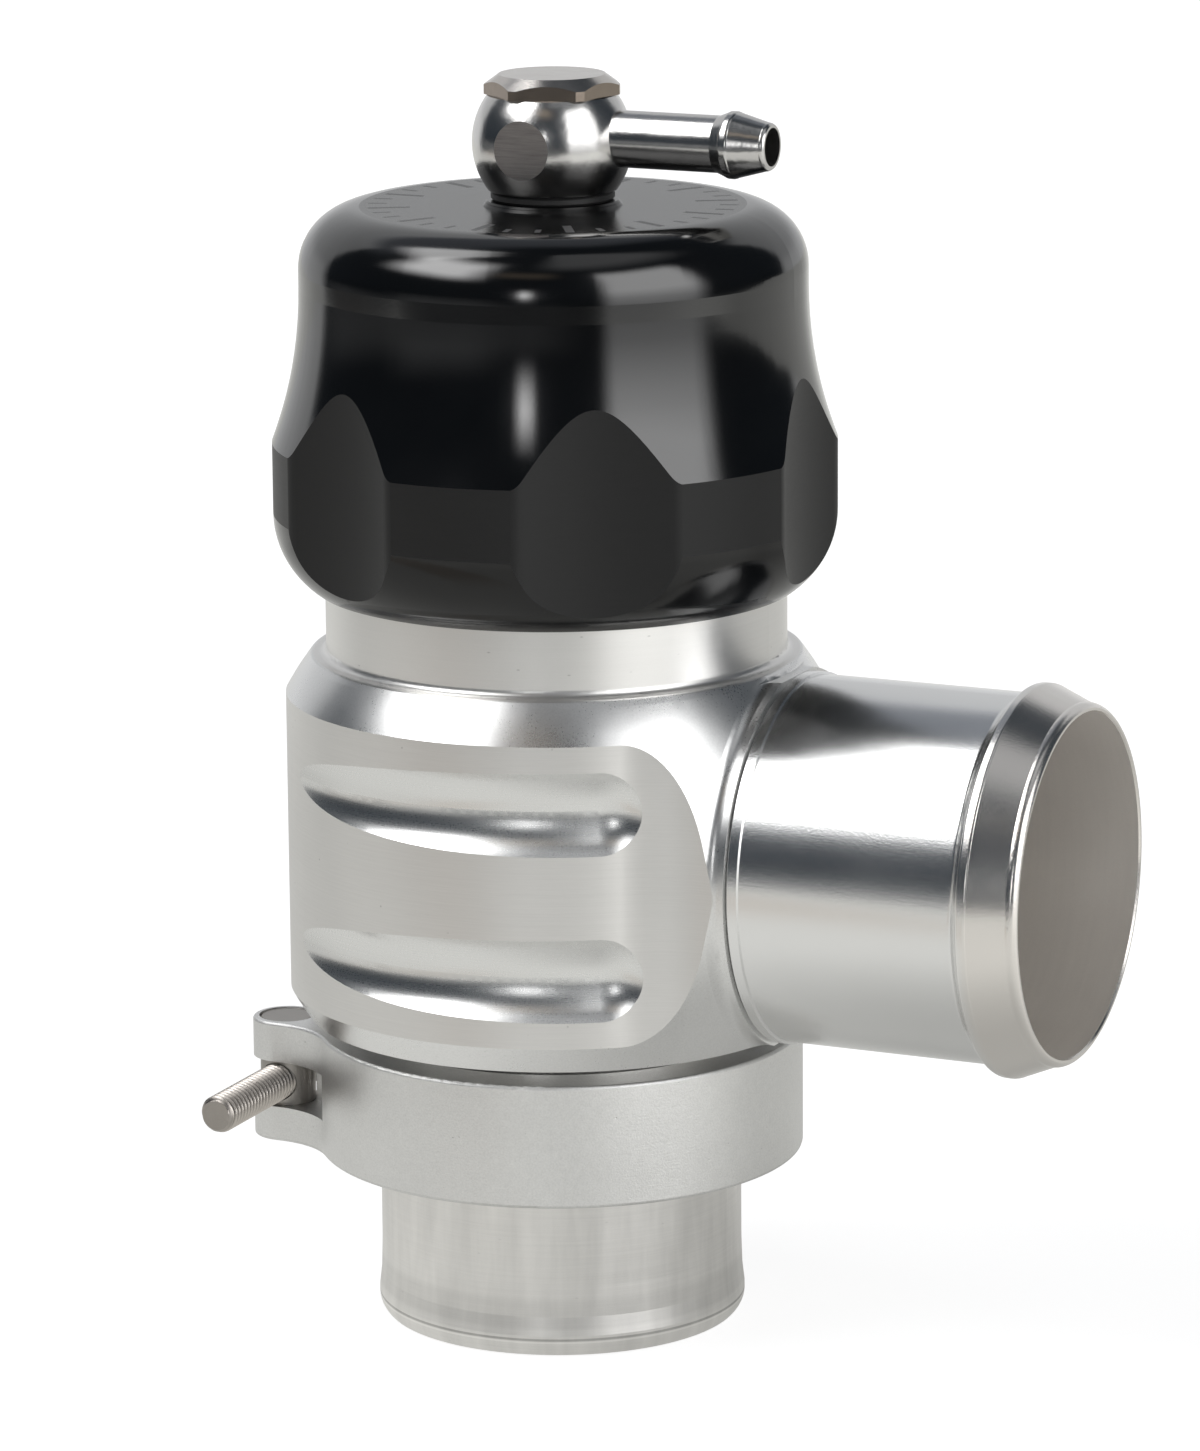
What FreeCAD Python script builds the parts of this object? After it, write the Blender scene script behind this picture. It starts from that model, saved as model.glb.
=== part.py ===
import FreeCAD, Part
import math
import os
import Sketcher

# Blow off valve. Millimetres, +Z up. The origin is the centre of the lower hose
# spigot's end face, +Z runs up through the valve, +X points out of the side outlet.

doc = FreeCAD.newDocument("blow_off_valve")

# ---------------------------------------------------------------- dimensions
sheet = doc.addObject("Spreadsheet::Sheet", "dims")
sheet.Label = "dims"

SIZES = [
    # lower hose adaptor
    ("spigot_rad", 18.95), ("spigot_flare", 0.33), ("spigot_bore", 16.5), ("spigot_edge", 0.7), ("spigot_round", 1.7),
    ("flange_rad", 22.6), ("adaptor_neck_z", 19.4), ("adaptor_flange_z", 20.9), ("joint_z", 24.15),
    ("nose_rad", 18.6), ("seat_z", 33.7), ("ring_groove_rad", 17.4), ("ring_groove_z", 28.5),
    ("ring_groove_wide", 1.3), ("ring_cord", 0.55),
    # clamp
    ("clamp_low", 17.8), ("clamp_high", 30.7), ("clamp_rad", 25.45), ("clamp_lip_top", 20.55),
    ("clamp_lip_low", 19.4), ("clamp_inner", 22.95), ("clamp_edge", 0.35),
    ("lug_reach", 27.5), ("lug_side", 9.0), ("lug_rad", 3.6), ("lug_blend", 9.0),
    ("slot_mid", 24.0), ("slot_tall", 4.9), ("slot_tall_far", 7.8), ("slot_root", 20.3),
    ("barrel_rad", 2.9), ("barrel_play", 0.05), ("barrel_floor", 18.4), ("barrel_top", 30.6),
    ("screw_rad", 2.0), ("screw_play", 0.06), ("screw_tip", 25.5), ("screw_head_rad", 3.5),
    ("screw_head_tall", 4.0), ("screw_key", 3.0), ("screw_washer_rad", 3.7), ("screw_washer_thick", 0.8),
    ("screw_seat", 11.1),
    # body
    ("axis_z", 51.0), ("ball_rad", 32.15), ("wall_rad", 28.1), ("wall_blend", 13.0), ("wall_side", 19.6),
    ("body_low", 32.5), ("body_neck_rad", 20.2), ("body_flange_z", 27.5), ("body_cone_z", 28.5),
    ("low_bore", 18.65), ("chamber_rad", 24.4), ("chamber_low", 33.6), ("chamber_high", 66.3),
    ("neck_bore", 21.6), ("neck_bore_z", 68.9), ("ledge_z", 70.7), ("neck_rad", 23.87),
    ("cove_rad", 0.75), ("neck_top", 90.5), ("neck_edge", 0.7), ("cap_groove_z", 85.5), ("cap_groove_rad", 22.35),
    ("cap_groove_wide", 2.0), ("cap_ring_cord", 0.82),
    ("boss_rad", 19.55), ("boss_end", 27.05), ("boss_blend", 1.7), ("port_rad", 18.0), ("port_root", 14.0),
    ("flute_rise", 8.6), ("flute_ball", 6.0), ("flute_deep", 1.82), ("flute_path", 35.0), ("flute_turn", 62.0),
    ("flute_end", 5.0), ("flute_sweep", 100.0),
    # outlet tube
    ("tube_rad", 18.95), ("tube_bore", 17.6), ("tube_spigot", 17.95), ("tube_root", 22.3), ("collar_rad", 19.2),
    ("collar_end", 28.35), ("collar_gap", 0.12), ("bead_root", 50.9), ("bead_rad", 20.1), ("bead_top", 52.6), ("bead_neck", 18.75),
    ("tube_tip_rad", 18.0), ("tube_tip", 57.9), ("tube_taper", 57.2),
    # cap
    ("cap_low", 77.65), ("cap_top", 117.0), ("cap_side", 26.1), ("cap_band", 29.08), ("cap_flat", 19.8),
    ("cap_flare_z", 108.84), ("cap_flare_rad", 44.4), ("cap_low_z", 85.48),
    ("cap_low_rad", 9.445), ("cap_lip", 24.75), ("cap_skirt", 24.15), ("cap_ledge", 95.5), ("cap_inner", 20.9),
    ("cap_ceiling", 108.7), ("cap_hole", 5.02), ("scallop_near", 26.9), ("scallop_rad", 32.5), ("scallop_fillet", 3.0), ("cap_turned_by", 3.2),
    ("cap_boss", 0.55), ("cap_boss_rad", 6.9),
    # banjo
    ("washer_thick", 1.0), ("washer_rad", 6.35), ("washer_hole", 5.1),
    ("banjo_rad", 8.2), ("banjo_mid", 123.45), ("banjo_half", 4.85), ("banjo_bore", 5.05), ("banjo_gallery", 6.0),
    ("tail_z", 124.1), ("tail_rad", 2.9), ("tail_bore", 1.95), ("tail_barb", 18.6), ("tail_peak", 20.1),
    ("tail_peak_rad", 3.42), ("tail_tip", 24.3), ("tail_tip_rad", 2.35), ("banjo_flat", 7.63),
    ("bolt_head_rad", 6.95), ("bolt_flats", 6.25), ("bolt_head_low", 128.3), ("bolt_head_tall", 2.1),
    ("bolt_top_rad", 5.45), ("bolt_shank", 4.97), ("bolt_waist", 4.1), ("bolt_end", 109.7), ("bolt_bore", 2.3), ("bolt_bore_top", 125.1),
    ("bolt_cross", 1.3),
    # piston group
    ("piston_rad", 21.4), ("piston_low", 34.7), ("piston_top", 77.5), ("piston_floor", 37.9), ("piston_inner", 18.6),
    ("guide_z", 70.9), ("guide_tall", 2.4), ("guide_rad", 21.54), ("guide_root", 20.3),
    ("lip_z", 74.5), ("lip_tall", 1.8), ("lip_rad", 21.5), ("lip_root", 19.9),
    ("seal_inner", 16.7), ("seal_outer", 18.3), ("seal_low", 33.75), ("seal_high", 35.7),
    ("spring_wire", 1.25), ("spring_mean", 15.6), ("spring_low", 37.95), ("spring_high", 105.4), ("spring_turns", 8.0),
    ("seatdisc_low", 105.45), ("seatdisc_high", 108.6), ("seatdisc_rad", 19.6), ("seatdisc_hub", 13.6), ("seatdisc_bore", 6.5),
]
value = {}
for row, (alias, number) in enumerate(SIZES, start=1):
    sheet.set("A%d" % row, alias)
    sheet.set("B%d" % row, "%.4f" % number)
    sheet.setAlias("B%d" % row, alias)
    value[alias] = number
doc.recompute()


class Q:
    """A size: its number, and the sheet expression that gives the same number."""

    def __init__(self, number, text):
        self.n = float(number)
        self.t = text

    def _pair(self, other):
        return other if isinstance(other, Q) else Q(other, repr(float(other)))

    def __add__(self, o):
        o = self._pair(o)
        return Q(self.n + o.n, "(%s + %s)" % (self.t, o.t))

    def __sub__(self, o):
        o = self._pair(o)
        return Q(self.n - o.n, "(%s - %s)" % (self.t, o.t))

    def __mul__(self, o):
        o = self._pair(o)
        return Q(self.n * o.n, "(%s * %s)" % (self.t, o.t))

    def __truediv__(self, o):
        o = self._pair(o)
        return Q(self.n / o.n, "(%s / %s)" % (self.t, o.t))

    def __neg__(self):
        return Q(-self.n, "(0 - %s)" % self.t)

    def root(self):
        return Q(math.sqrt(self.n), "sqrt(%s)" % self.t)


class Sizes:
    def __getattr__(self, name):
        return Q(value[name], "dims.%s" % name)


d = Sizes()
ZERO = Q(0.0, "0")


def as_q(x):
    return x if isinstance(x, Q) else Q(x, repr(float(x)))


# ------------------------------------------------------------------- helpers
def new_body(name):
    body = doc.addObject("PartDesign::Body", name + "_body")
    body.Label = name
    return body


def plane(body, role):
    for feature in body.Origin.OriginFeatures:
        if feature.Role == role:
            return feature


def sketch_on(body, name, role, offset=None):
    sk = body.newObject("Sketcher::SketchObject", name)
    sk.AttachmentSupport = [(plane(body, role), "")]
    sk.MapMode = "FlatFace"
    if offset is not None:
        sk.AttachmentOffset = FreeCAD.Placement(FreeCAD.Vector(0, 0, offset.n), FreeCAD.Rotation())
        sk.setExpression("AttachmentOffset.Base.z", offset.t)
    return sk


def pin_down(sk, geo, pos, x, y):
    """Holds one sketch point at sheet sizes x, y."""
    for kind, q, axis in (("DistanceX", x, -2), ("DistanceY", y, -1)):
        if abs(q.n) < 1e-9:
            sk.addConstraint(Sketcher.Constraint("PointOnObject", geo, pos, axis))
        else:
            i = sk.addConstraint(Sketcher.Constraint(kind, -1, 1, geo, pos, q.n))
            sk.setExpression("Constraints[%d]" % i, q.t)


def outline(sk, points):
    """Closed outline. Each point is (x, y) or (x, y, radius, side): the last two make
    the run that starts there an arc of that radius, side +1 when its centre lies to the
    left of the run's direction and -1 when to the right. A radius with side +2 or -2 takes the long way round."""
    pts = [(as_q(p[0]), as_q(p[1])) + tuple(p[2:]) for p in points]
    first = None
    last = None
    count = len(pts)
    for i in range(count):
        a, b = pts[i], pts[(i + 1) % count]
        va = FreeCAD.Vector(a[0].n, a[1].n, 0)
        vb = FreeCAD.Vector(b[0].n, b[1].n, 0)
        if len(a) == 2:
            geo = sk.addGeometry(Part.LineSegment(va, vb), False)
            start, end = 1, 2
            pin_down(sk, geo, 1, a[0], a[1])
        else:
            rad, side = as_q(a[2]), a[3]
            chord = vb - va
            half = chord.Length / 2.0
            high = math.sqrt(max(rad.n * rad.n - half * half, 0.0))
            left = FreeCAD.Vector(-chord.y, chord.x, 0).normalize()
            sign = 1 if side > 0 else -1
            long_way = abs(side) == 2
            centre = (va + vb) * 0.5 + left * (high * sign * (-1 if long_way else 1))
            a0 = math.atan2(va.y - centre.y, va.x - centre.x)
            a1 = math.atan2(vb.y - centre.y, vb.x - centre.x)
            circle = Part.Circle(centre, FreeCAD.Vector(0, 0, 1), rad.n)
            if sign > 0:
                while a1 < a0:
                    a1 += 2 * math.pi
                geo = sk.addGeometry(Part.ArcOfCircle(circle, a0, a1), False)
                start, end = 1, 2
            else:
                while a0 < a1:
                    a0 += 2 * math.pi
                geo = sk.addGeometry(Part.ArcOfCircle(circle, a1, a0), False)
                start, end = 2, 1
            pin_down(sk, geo, start, a[0], a[1])
            r = sk.addConstraint(Sketcher.Constraint("Radius", geo, rad.n))
            sk.setExpression("Constraints[%d]" % r, rad.t)
        if last is not None:
            sk.addConstraint(Sketcher.Constraint("Coincident", last[0], last[1], geo, start))
        if first is None:
            first = (geo, start)
        last = (geo, end)
    sk.addConstraint(Sketcher.Constraint("Coincident", last[0], last[1], first[0], first[1]))
    return sk


def circle_at(sk, x, y, rad):
    x, y, rad = as_q(x), as_q(y), as_q(rad)
    geo = sk.addGeometry(Part.Circle(FreeCAD.Vector(x.n, y.n, 0), FreeCAD.Vector(0, 0, 1), rad.n), False)
    pin_down(sk, geo, 3, x, y)
    r = sk.addConstraint(Sketcher.Constraint("Radius", geo, rad.n))
    sk.setExpression("Constraints[%d]" % r, rad.t)


def turned(body, name, points, cut=False, axis="V_Axis", role="XZ_Plane"):
    sk = sketch_on(body, name + "_sketch", role)
    outline(sk, points)
    kind = "PartDesign::Groove" if cut else "PartDesign::Revolution"
    feat = body.newObject(kind, name)
    feat.Profile = sk
    feat.ReferenceAxis = (sk, [axis])
    feat.Angle = 360.0
    sk.Visibility = False
    doc.recompute()
    return feat


def padded(body, name, draw, role, offset, length, cut=False, reverse=False, through=False, midplane=False):
    sk = sketch_on(body, name + "_sketch", role, offset)
    draw(sk)
    feat = body.newObject("PartDesign::Pocket" if cut else "PartDesign::Pad", name)
    feat.Profile = sk
    if through:
        feat.Type = "ThroughAll"
        feat.Midplane = midplane
    else:
        length = as_q(length)
        feat.Length = length.n
        feat.setExpression("Length", length.t)
        feat.Midplane = midplane
    feat.Reversed = reverse
    doc.recompute()
    return feat


def lift(body, z):
    """Places a body whose own origin lies up the valve's axis."""
    body.Placement = FreeCAD.Placement(FreeCAD.Vector(0, 0, z.n), FreeCAD.Rotation())
    body.setExpression("Placement.Base.z", z.t)


def edges_where(shape, test):
    names = []
    for i, e in enumerate(shape.Edges, start=1):
        if test(e):
            names.append("Edge%d" % i)
    return names


def rounded(body, name, base, names, size, chamfer=False):
    feat = body.newObject("PartDesign::Chamfer" if chamfer else "PartDesign::Fillet", name)
    feat.Base = (base, names)
    size = as_q(size)
    if chamfer:
        feat.Size = size.n
        feat.setExpression("Size", size.t)
    else:
        feat.Radius = size.n
        feat.setExpression("Radius", size.t)
    doc.recompute()
    return feat


parts = []


# -------------------------------------------------------------- base adaptor
# Plain hose spigot, a V flange for the clamp, and a nose that carries the valve's seat.
b = new_body("base_adaptor")
g_lo, g_hi = d.ring_groove_z - d.ring_groove_wide / 2, d.ring_groove_z + d.ring_groove_wide / 2
turned(b, "adaptor_turned", [
    (d.spigot_bore, 0), (d.spigot_rad + d.spigot_flare - d.spigot_edge, 0, 2.2, 1),
    (d.spigot_rad + d.spigot_flare, d.spigot_round),
    (d.spigot_rad + d.spigot_flare, d.spigot_round + 0.5), (d.spigot_rad + 0.1, 4.2), (d.spigot_rad, 7.5), (d.spigot_rad, d.adaptor_neck_z),
    (d.flange_rad, d.adaptor_flange_z), (d.flange_rad, d.joint_z), (d.nose_rad, d.joint_z),
    (d.nose_rad, g_lo), (d.ring_groove_rad, g_lo), (d.ring_groove_rad, g_hi), (d.nose_rad, g_hi),
    (d.nose_rad, d.seat_z - 0.4), (d.nose_rad - 0.4, d.seat_z), (d.spigot_bore + 0.6, d.seat_z),
    (d.spigot_bore, d.seat_z - 0.6),
])
parts.append(b)

# The joint's ring seal lies in the nose's groove.
ring = doc.addObject("Part::Torus", "base_o_ring_torus")
ring.Label = "base_o_ring"
ring.setExpression("Radius1", "dims.ring_groove_rad + 0.02 + dims.ring_cord")
ring.setExpression("Radius2", "dims.ring_cord")
ring.Placement = FreeCAD.Placement(FreeCAD.Vector(0, 0, value["ring_groove_z"]), FreeCAD.Rotation())
ring.setExpression("Placement.Base.z", "dims.ring_groove_z")
parts.append(ring)

# ----------------------------------------------------------------- clamp ring
# One split ring with two lugs: a V channel inside draws the two flanges together.
b = new_body("clamp_ring")
blend_x = ((d.clamp_rad + d.lug_blend) * (d.clamp_rad + d.lug_blend)
           - (d.lug_side + d.lug_rad + d.lug_blend) * (d.lug_side + d.lug_rad + d.lug_blend)).root()
touch = d.clamp_rad / (d.clamp_rad + d.lug_blend)
tx, ty = blend_x * touch, (d.lug_side + d.lug_rad + d.lug_blend) * touch
front, inner = d.lug_side + d.lug_rad, d.lug_side - d.lug_rad


def clamp_plan(sk):
    outline(sk, [
        (-tx, -ty, d.clamp_rad, 2),
        (-tx, ty, d.lug_blend, -1),
        (-blend_x, front),
        (-d.lug_reach, front, d.lug_rad, 1),
        (-d.lug_reach - d.lug_rad, d.lug_side, d.lug_rad, 1),
        (-d.lug_reach, inner),
        (-15.0, inner), (-15.0, -inner),
        (-d.lug_reach, -inner, d.lug_rad, 1),
        (-d.lug_reach - d.lug_rad, -d.lug_side, d.lug_rad, 1),
        (-d.lug_reach, -front),
        (-blend_x, -front, d.lug_blend, -1),
    ])


padded(b, "clamp_blank", clamp_plan, "XY_Plane", d.clamp_low, d.clamp_high - d.clamp_low)
turned(b, "clamp_channel", [
    (0, 16.5), (d.clamp_lip_low + 0.4, 16.5), (d.clamp_lip_low + 0.4, d.clamp_low), (d.clamp_lip_low, d.clamp_low + 0.4),
    (d.clamp_lip_low, 19.05), (d.clamp_inner, 20.55), (d.clamp_inner, 27.75), (d.clamp_lip_top, 28.8),
    (d.clamp_lip_top, d.clamp_high - 0.4), (d.clamp_lip_top + 0.4, d.clamp_high), (d.clamp_lip_top + 0.4, 31.5), (0, 31.5),
], cut=True)


# both lugs are slotted for the screw, and the far one has a taller pocket for its head
def shank_slot(sk):
    outline(sk, [(-33.0, d.slot_mid - d.slot_tall / 2), (-d.slot_root, d.slot_mid - d.slot_tall / 2),
                 (-d.slot_root, d.slot_mid + d.slot_tall / 2), (-33.0, d.slot_mid + d.slot_tall / 2)])


def head_pocket(sk):
    outline(sk, [(-33.0, d.slot_mid - d.slot_tall_far / 2), (-d.slot_root - 1.0, d.slot_mid - d.slot_tall_far / 2),
                 (-d.slot_root - 1.0, d.slot_mid + d.slot_tall_far / 2), (-33.0, d.slot_mid + d.slot_tall_far / 2)])


# sketches on the XZ plane have their normal along -Y
padded(b, "lug_slots", shank_slot, "XZ_Plane", ZERO, 36.0, cut=True, midplane=True)
padded(b, "far_lug_pocket", head_pocket, "XZ_Plane", -(d.screw_seat - 0.15), 8.0, cut=True, reverse=False)


def barrel_holes(sk):
    circle_at(sk, -d.lug_reach, d.lug_side, d.barrel_rad + d.barrel_play)
    circle_at(sk, -d.lug_reach, -d.lug_side, d.barrel_rad + d.barrel_play)


padded(b, "lug_cross_holes", barrel_holes, "XY_Plane", d.barrel_floor - 0.05, 14.0, cut=True, reverse=True)
top_z, low_z = value["clamp_high"], value["clamp_low"]


def clamp_rim(e):
    bb = e.BoundBox
    flat = bb.ZMax - bb.ZMin < 1e-4 and (abs(bb.ZMax - top_z) < 1e-4 or abs(bb.ZMax - low_z) < 1e-4)
    if not flat:
        return False
    p = e.valueAt((e.FirstParameter + e.LastParameter) / 2)
    if math.hypot(p.x, p.y) > value["clamp_rad"] - 0.02:
        hole = min(math.hypot(p.x + value["lug_reach"], p.y - s * value["lug_side"]) for s in (1, -1))
        return abs(p.y) > value["lug_side"] - value["lug_rad"] + 0.01 and hole > value["barrel_rad"] + 0.3
    return False


base_feat = b.Tip
rounded(b, "clamp_rims", base_feat, edges_where(base_feat.Shape, clamp_rim), d.clamp_edge)
parts.append(b)


# Threaded barrel in the near lug and plain barrel in the far lug: both stand upright in
# the lugs and turn a little as the ring closes.
def barrel(name, side, flat):
    body = new_body(name)
    padded(body, name + "_pin", lambda sk: circle_at(sk, 0, 0, d.barrel_rad), "XY_Plane", ZERO,
           d.barrel_top - d.barrel_floor)
    padded(body, name + "_cross", lambda sk: circle_at(sk, 0, d.slot_mid - d.barrel_floor, d.screw_rad + d.screw_play),
           "XZ_Plane", ZERO, 12.0, cut=True, midplane=True)
    if flat:
        padded(body, name + "_flat", lambda sk: outline(sk, [
            (-4.0, d.slot_mid - d.barrel_floor - d.slot_tall_far / 2), (4.0, d.slot_mid - d.barrel_floor - d.slot_tall_far / 2),
            (4.0, d.slot_mid - d.barrel_floor + d.slot_tall_far / 2), (-4.0, d.slot_mid - d.barrel_floor + d.slot_tall_far / 2)]),
            "XZ_Plane", -(d.screw_seat - d.lug_side), 5.0, cut=True, reverse=False)
    tip = body.Tip
    names = edges_where(tip.Shape, lambda e: e.BoundBox.ZMax - e.BoundBox.ZMin < 1e-4 and e.Length > 15.0)
    rounded(body, name + "_edge", tip, names, 0.25, chamfer=True)
    body.Placement = FreeCAD.Placement(
        FreeCAD.Vector(-value["lug_reach"], side * value["lug_side"], value["barrel_floor"]), FreeCAD.Rotation())
    body.setExpression("Placement.Base.x", "0 - dims.lug_reach")
    body.setExpression("Placement.Base.y", "%d * dims.lug_side" % side)
    body.setExpression("Placement.Base.z", "dims.barrel_floor")
    return body


parts.append(barrel("clamp_barrel_nut", -1, False))
parts.append(barrel("clamp_trunnion", 1, True))

# M4 socket screw, drawn along its own Z and laid along -Y through both barrels.
b = new_body("clamp_screw")
seat = d.screw_seat + d.screw_washer_thick
turned(b, "screw_turned", [
    (0, -(d.screw_tip)), (d.screw_rad - 0.38, -(d.screw_tip)), (d.screw_rad, -(d.screw_tip) + 0.4),
    (d.screw_rad, seat), (d.screw_head_rad, seat), (d.screw_head_rad, seat + d.screw_head_tall - 0.4),
    (d.screw_head_rad - 0.4, seat + d.screw_head_tall), (0, seat + d.screw_head_tall),
])
hexr = d.screw_key / math.sqrt(3.0)
padded(b, "screw_socket", lambda sk: outline(sk, [
    (hexr, 0), (hexr * 0.5, d.screw_key / 2), (-(hexr * 0.5), d.screw_key / 2), (-hexr, 0),
    (-(hexr * 0.5), -(d.screw_key / 2)), (hexr * 0.5, -(d.screw_key / 2))]),
    "XY_Plane", seat + d.screw_head_tall, 2.2, cut=True)
b.Placement = FreeCAD.Placement(FreeCAD.Vector(-value["lug_reach"], 0, value["slot_mid"]),
                                FreeCAD.Rotation(FreeCAD.Vector(1, 0, 0), -90))
b.setExpression("Placement.Base.x", "0 - dims.lug_reach")
b.setExpression("Placement.Base.z", "dims.slot_mid")
parts.append(b)

b = new_body("clamp_screw_washer")
turned(b, "screw_washer_turned", [
    (d.screw_rad + 0.2, d.screw_seat + 0.02), (d.screw_washer_rad, d.screw_seat + 0.02),
    (d.screw_washer_rad, seat - 0.02), (d.screw_rad + 0.2, seat - 0.02)])
b.Placement = FreeCAD.Placement(FreeCAD.Vector(-value["lug_reach"], 0, value["slot_mid"]),
                                FreeCAD.Rotation(FreeCAD.Vector(1, 0, 0), -90))
b.setExpression("Placement.Base.x", "0 - dims.lug_reach")
b.setExpression("Placement.Base.z", "dims.slot_mid")
parts.append(b)

# ----------------------------------------------------------------- valve body
# A ball-shaped blank turned about the valve's axis, with a neck above and a V flange
# below. A boss for the outlet stands out of it with a small fillet. Its side is then
# milled to an upright wall: round at the back, and running off into the boss's sides.
b = new_body("valve_body_blank")


def ball_x(z):
    return (d.ball_rad * d.ball_rad - (z - d.axis_z) * (z - d.axis_z)).root()


c_lo, c_hi = d.cap_groove_z - d.cap_groove_wide / 2, d.cap_groove_z + d.cap_groove_wide / 2
lip_z = d.ledge_z - 0.6
# ball and boss as one turning about the outlet's axis: the fillet's centre is on both offsets
far = d.ball_rad + d.boss_blend
fx = (far * far - (d.boss_rad + d.boss_blend) * (d.boss_rad + d.boss_blend)).root()
fk = d.ball_rad / far
sk = sketch_on(b, "ball_and_boss_sketch", "XZ_Plane")
outline(sk, [
    (fx * fk, d.axis_z + (d.boss_rad + d.boss_blend) * fk, d.ball_rad, 1), (-d.ball_rad, d.axis_z),
    (d.boss_end, d.axis_z), (d.boss_end, d.axis_z + d.boss_rad), (fx, d.axis_z + d.boss_rad, d.boss_blend, -1)])
axis_line = sk.addGeometry(Part.LineSegment(FreeCAD.Vector(-30, value["axis_z"], 0), FreeCAD.Vector(30, value["axis_z"], 0)), True)
sk.addConstraint(Sketcher.Constraint("Horizontal", axis_line))
i = sk.addConstraint(Sketcher.Constraint("DistanceY", -1, 1, axis_line, 1, value["axis_z"]))
sk.setExpression("Constraints[%d]" % i, d.axis_z.t)
i = sk.addConstraint(Sketcher.Constraint("DistanceX", -1, 1, axis_line, 1, -30.0))
i = sk.addConstraint(Sketcher.Constraint("DistanceX", -1, 1, axis_line, 2, 30.0))
ball = b.newObject("PartDesign::Revolution", "ball_and_boss")
ball.Profile = sk
ball.ReferenceAxis = (sk, ["Axis0"])
ball.Angle = 360.0
doc.recompute()
# the ball's top and bottom are turned off about the valve's axis, and the neck and flange added
turned(b, "top_faced", [
    (0, d.ledge_z), (ball_x(lip_z) - 0.7, d.ledge_z, 0.8, -1), (ball_x(lip_z), lip_z), (40.0, lip_z), (40.0, 95.5), (0, 95.5)],
    cut=True)
turned(b, "bottom_faced", [(0, 12.5), (40.0, 12.5), (40.0, d.body_low), (0, d.body_low)], cut=True)
turned(b, "neck_turned", [
    (0, d.ledge_z - 5.0), (d.neck_rad - 1.2, d.ledge_z - 5.0),
    (d.neck_rad + d.cove_rad, d.ledge_z, d.cove_rad, -1), (d.neck_rad, d.ledge_z + d.cove_rad),
    (d.neck_rad, c_lo), (d.cap_groove_rad, c_lo), (d.cap_groove_rad, c_hi), (d.neck_rad, c_hi),
    (d.neck_rad, d.neck_top - d.neck_edge), (d.neck_rad - d.neck_edge, d.neck_top), (0, d.neck_top)])
turned(b, "flange_turned", [
    (0, d.joint_z + 0.05), (d.flange_rad, d.joint_z + 0.05), (d.flange_rad, d.body_flange_z),
    (d.body_neck_rad, d.body_cone_z), (d.body_neck_rad, d.body_low + 4.0), (0, d.body_low + 4.0)])

# the upright wall
wx = ((d.wall_rad + d.wall_blend) * (d.wall_rad + d.wall_blend)
      - (d.wall_side + d.wall_blend) * (d.wall_side + d.wall_blend)).root()
wk = d.wall_rad / (d.wall_rad + d.wall_blend)
wtx, wty = wx * wk, (d.wall_side + d.wall_blend) * wk


def wall_plan(sk):
    outline(sk, [
        (wtx, wty, d.wall_rad, 2), (wtx, -wty, d.wall_blend, -1), (wx, -d.wall_side), (38.0, -d.wall_side),
        (38.0, d.wall_side), (wx, d.wall_side, d.wall_blend, -1)])
    circle_at(sk, 0, 0, 60.0)


padded(b, "wall_milling", wall_plan, "XY_Plane", d.body_low - 1.0, d.ledge_z - d.body_low + 3.0, cut=True, reverse=True)

# bores: the nose bore, the chamber and the neck bore are one turning, the port crosses it
turned(b, "body_bores", [
    (0, 22.5), (d.low_bore, 22.5), (d.low_bore, d.chamber_low), (d.chamber_rad - 1.5, d.chamber_low, 1.5, 1),
    (d.chamber_rad, d.chamber_low + 1.5), (d.chamber_rad, d.chamber_high), (d.neck_bore, d.neck_bore_z),
    (d.neck_bore, 92.5), (0, 92.5)], cut=True)
padded(b, "outlet_port", lambda sk: circle_at(sk, 0, d.axis_z, d.port_rad), "YZ_Plane", d.port_root, 20.0, cut=True,
       reverse=True)

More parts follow.
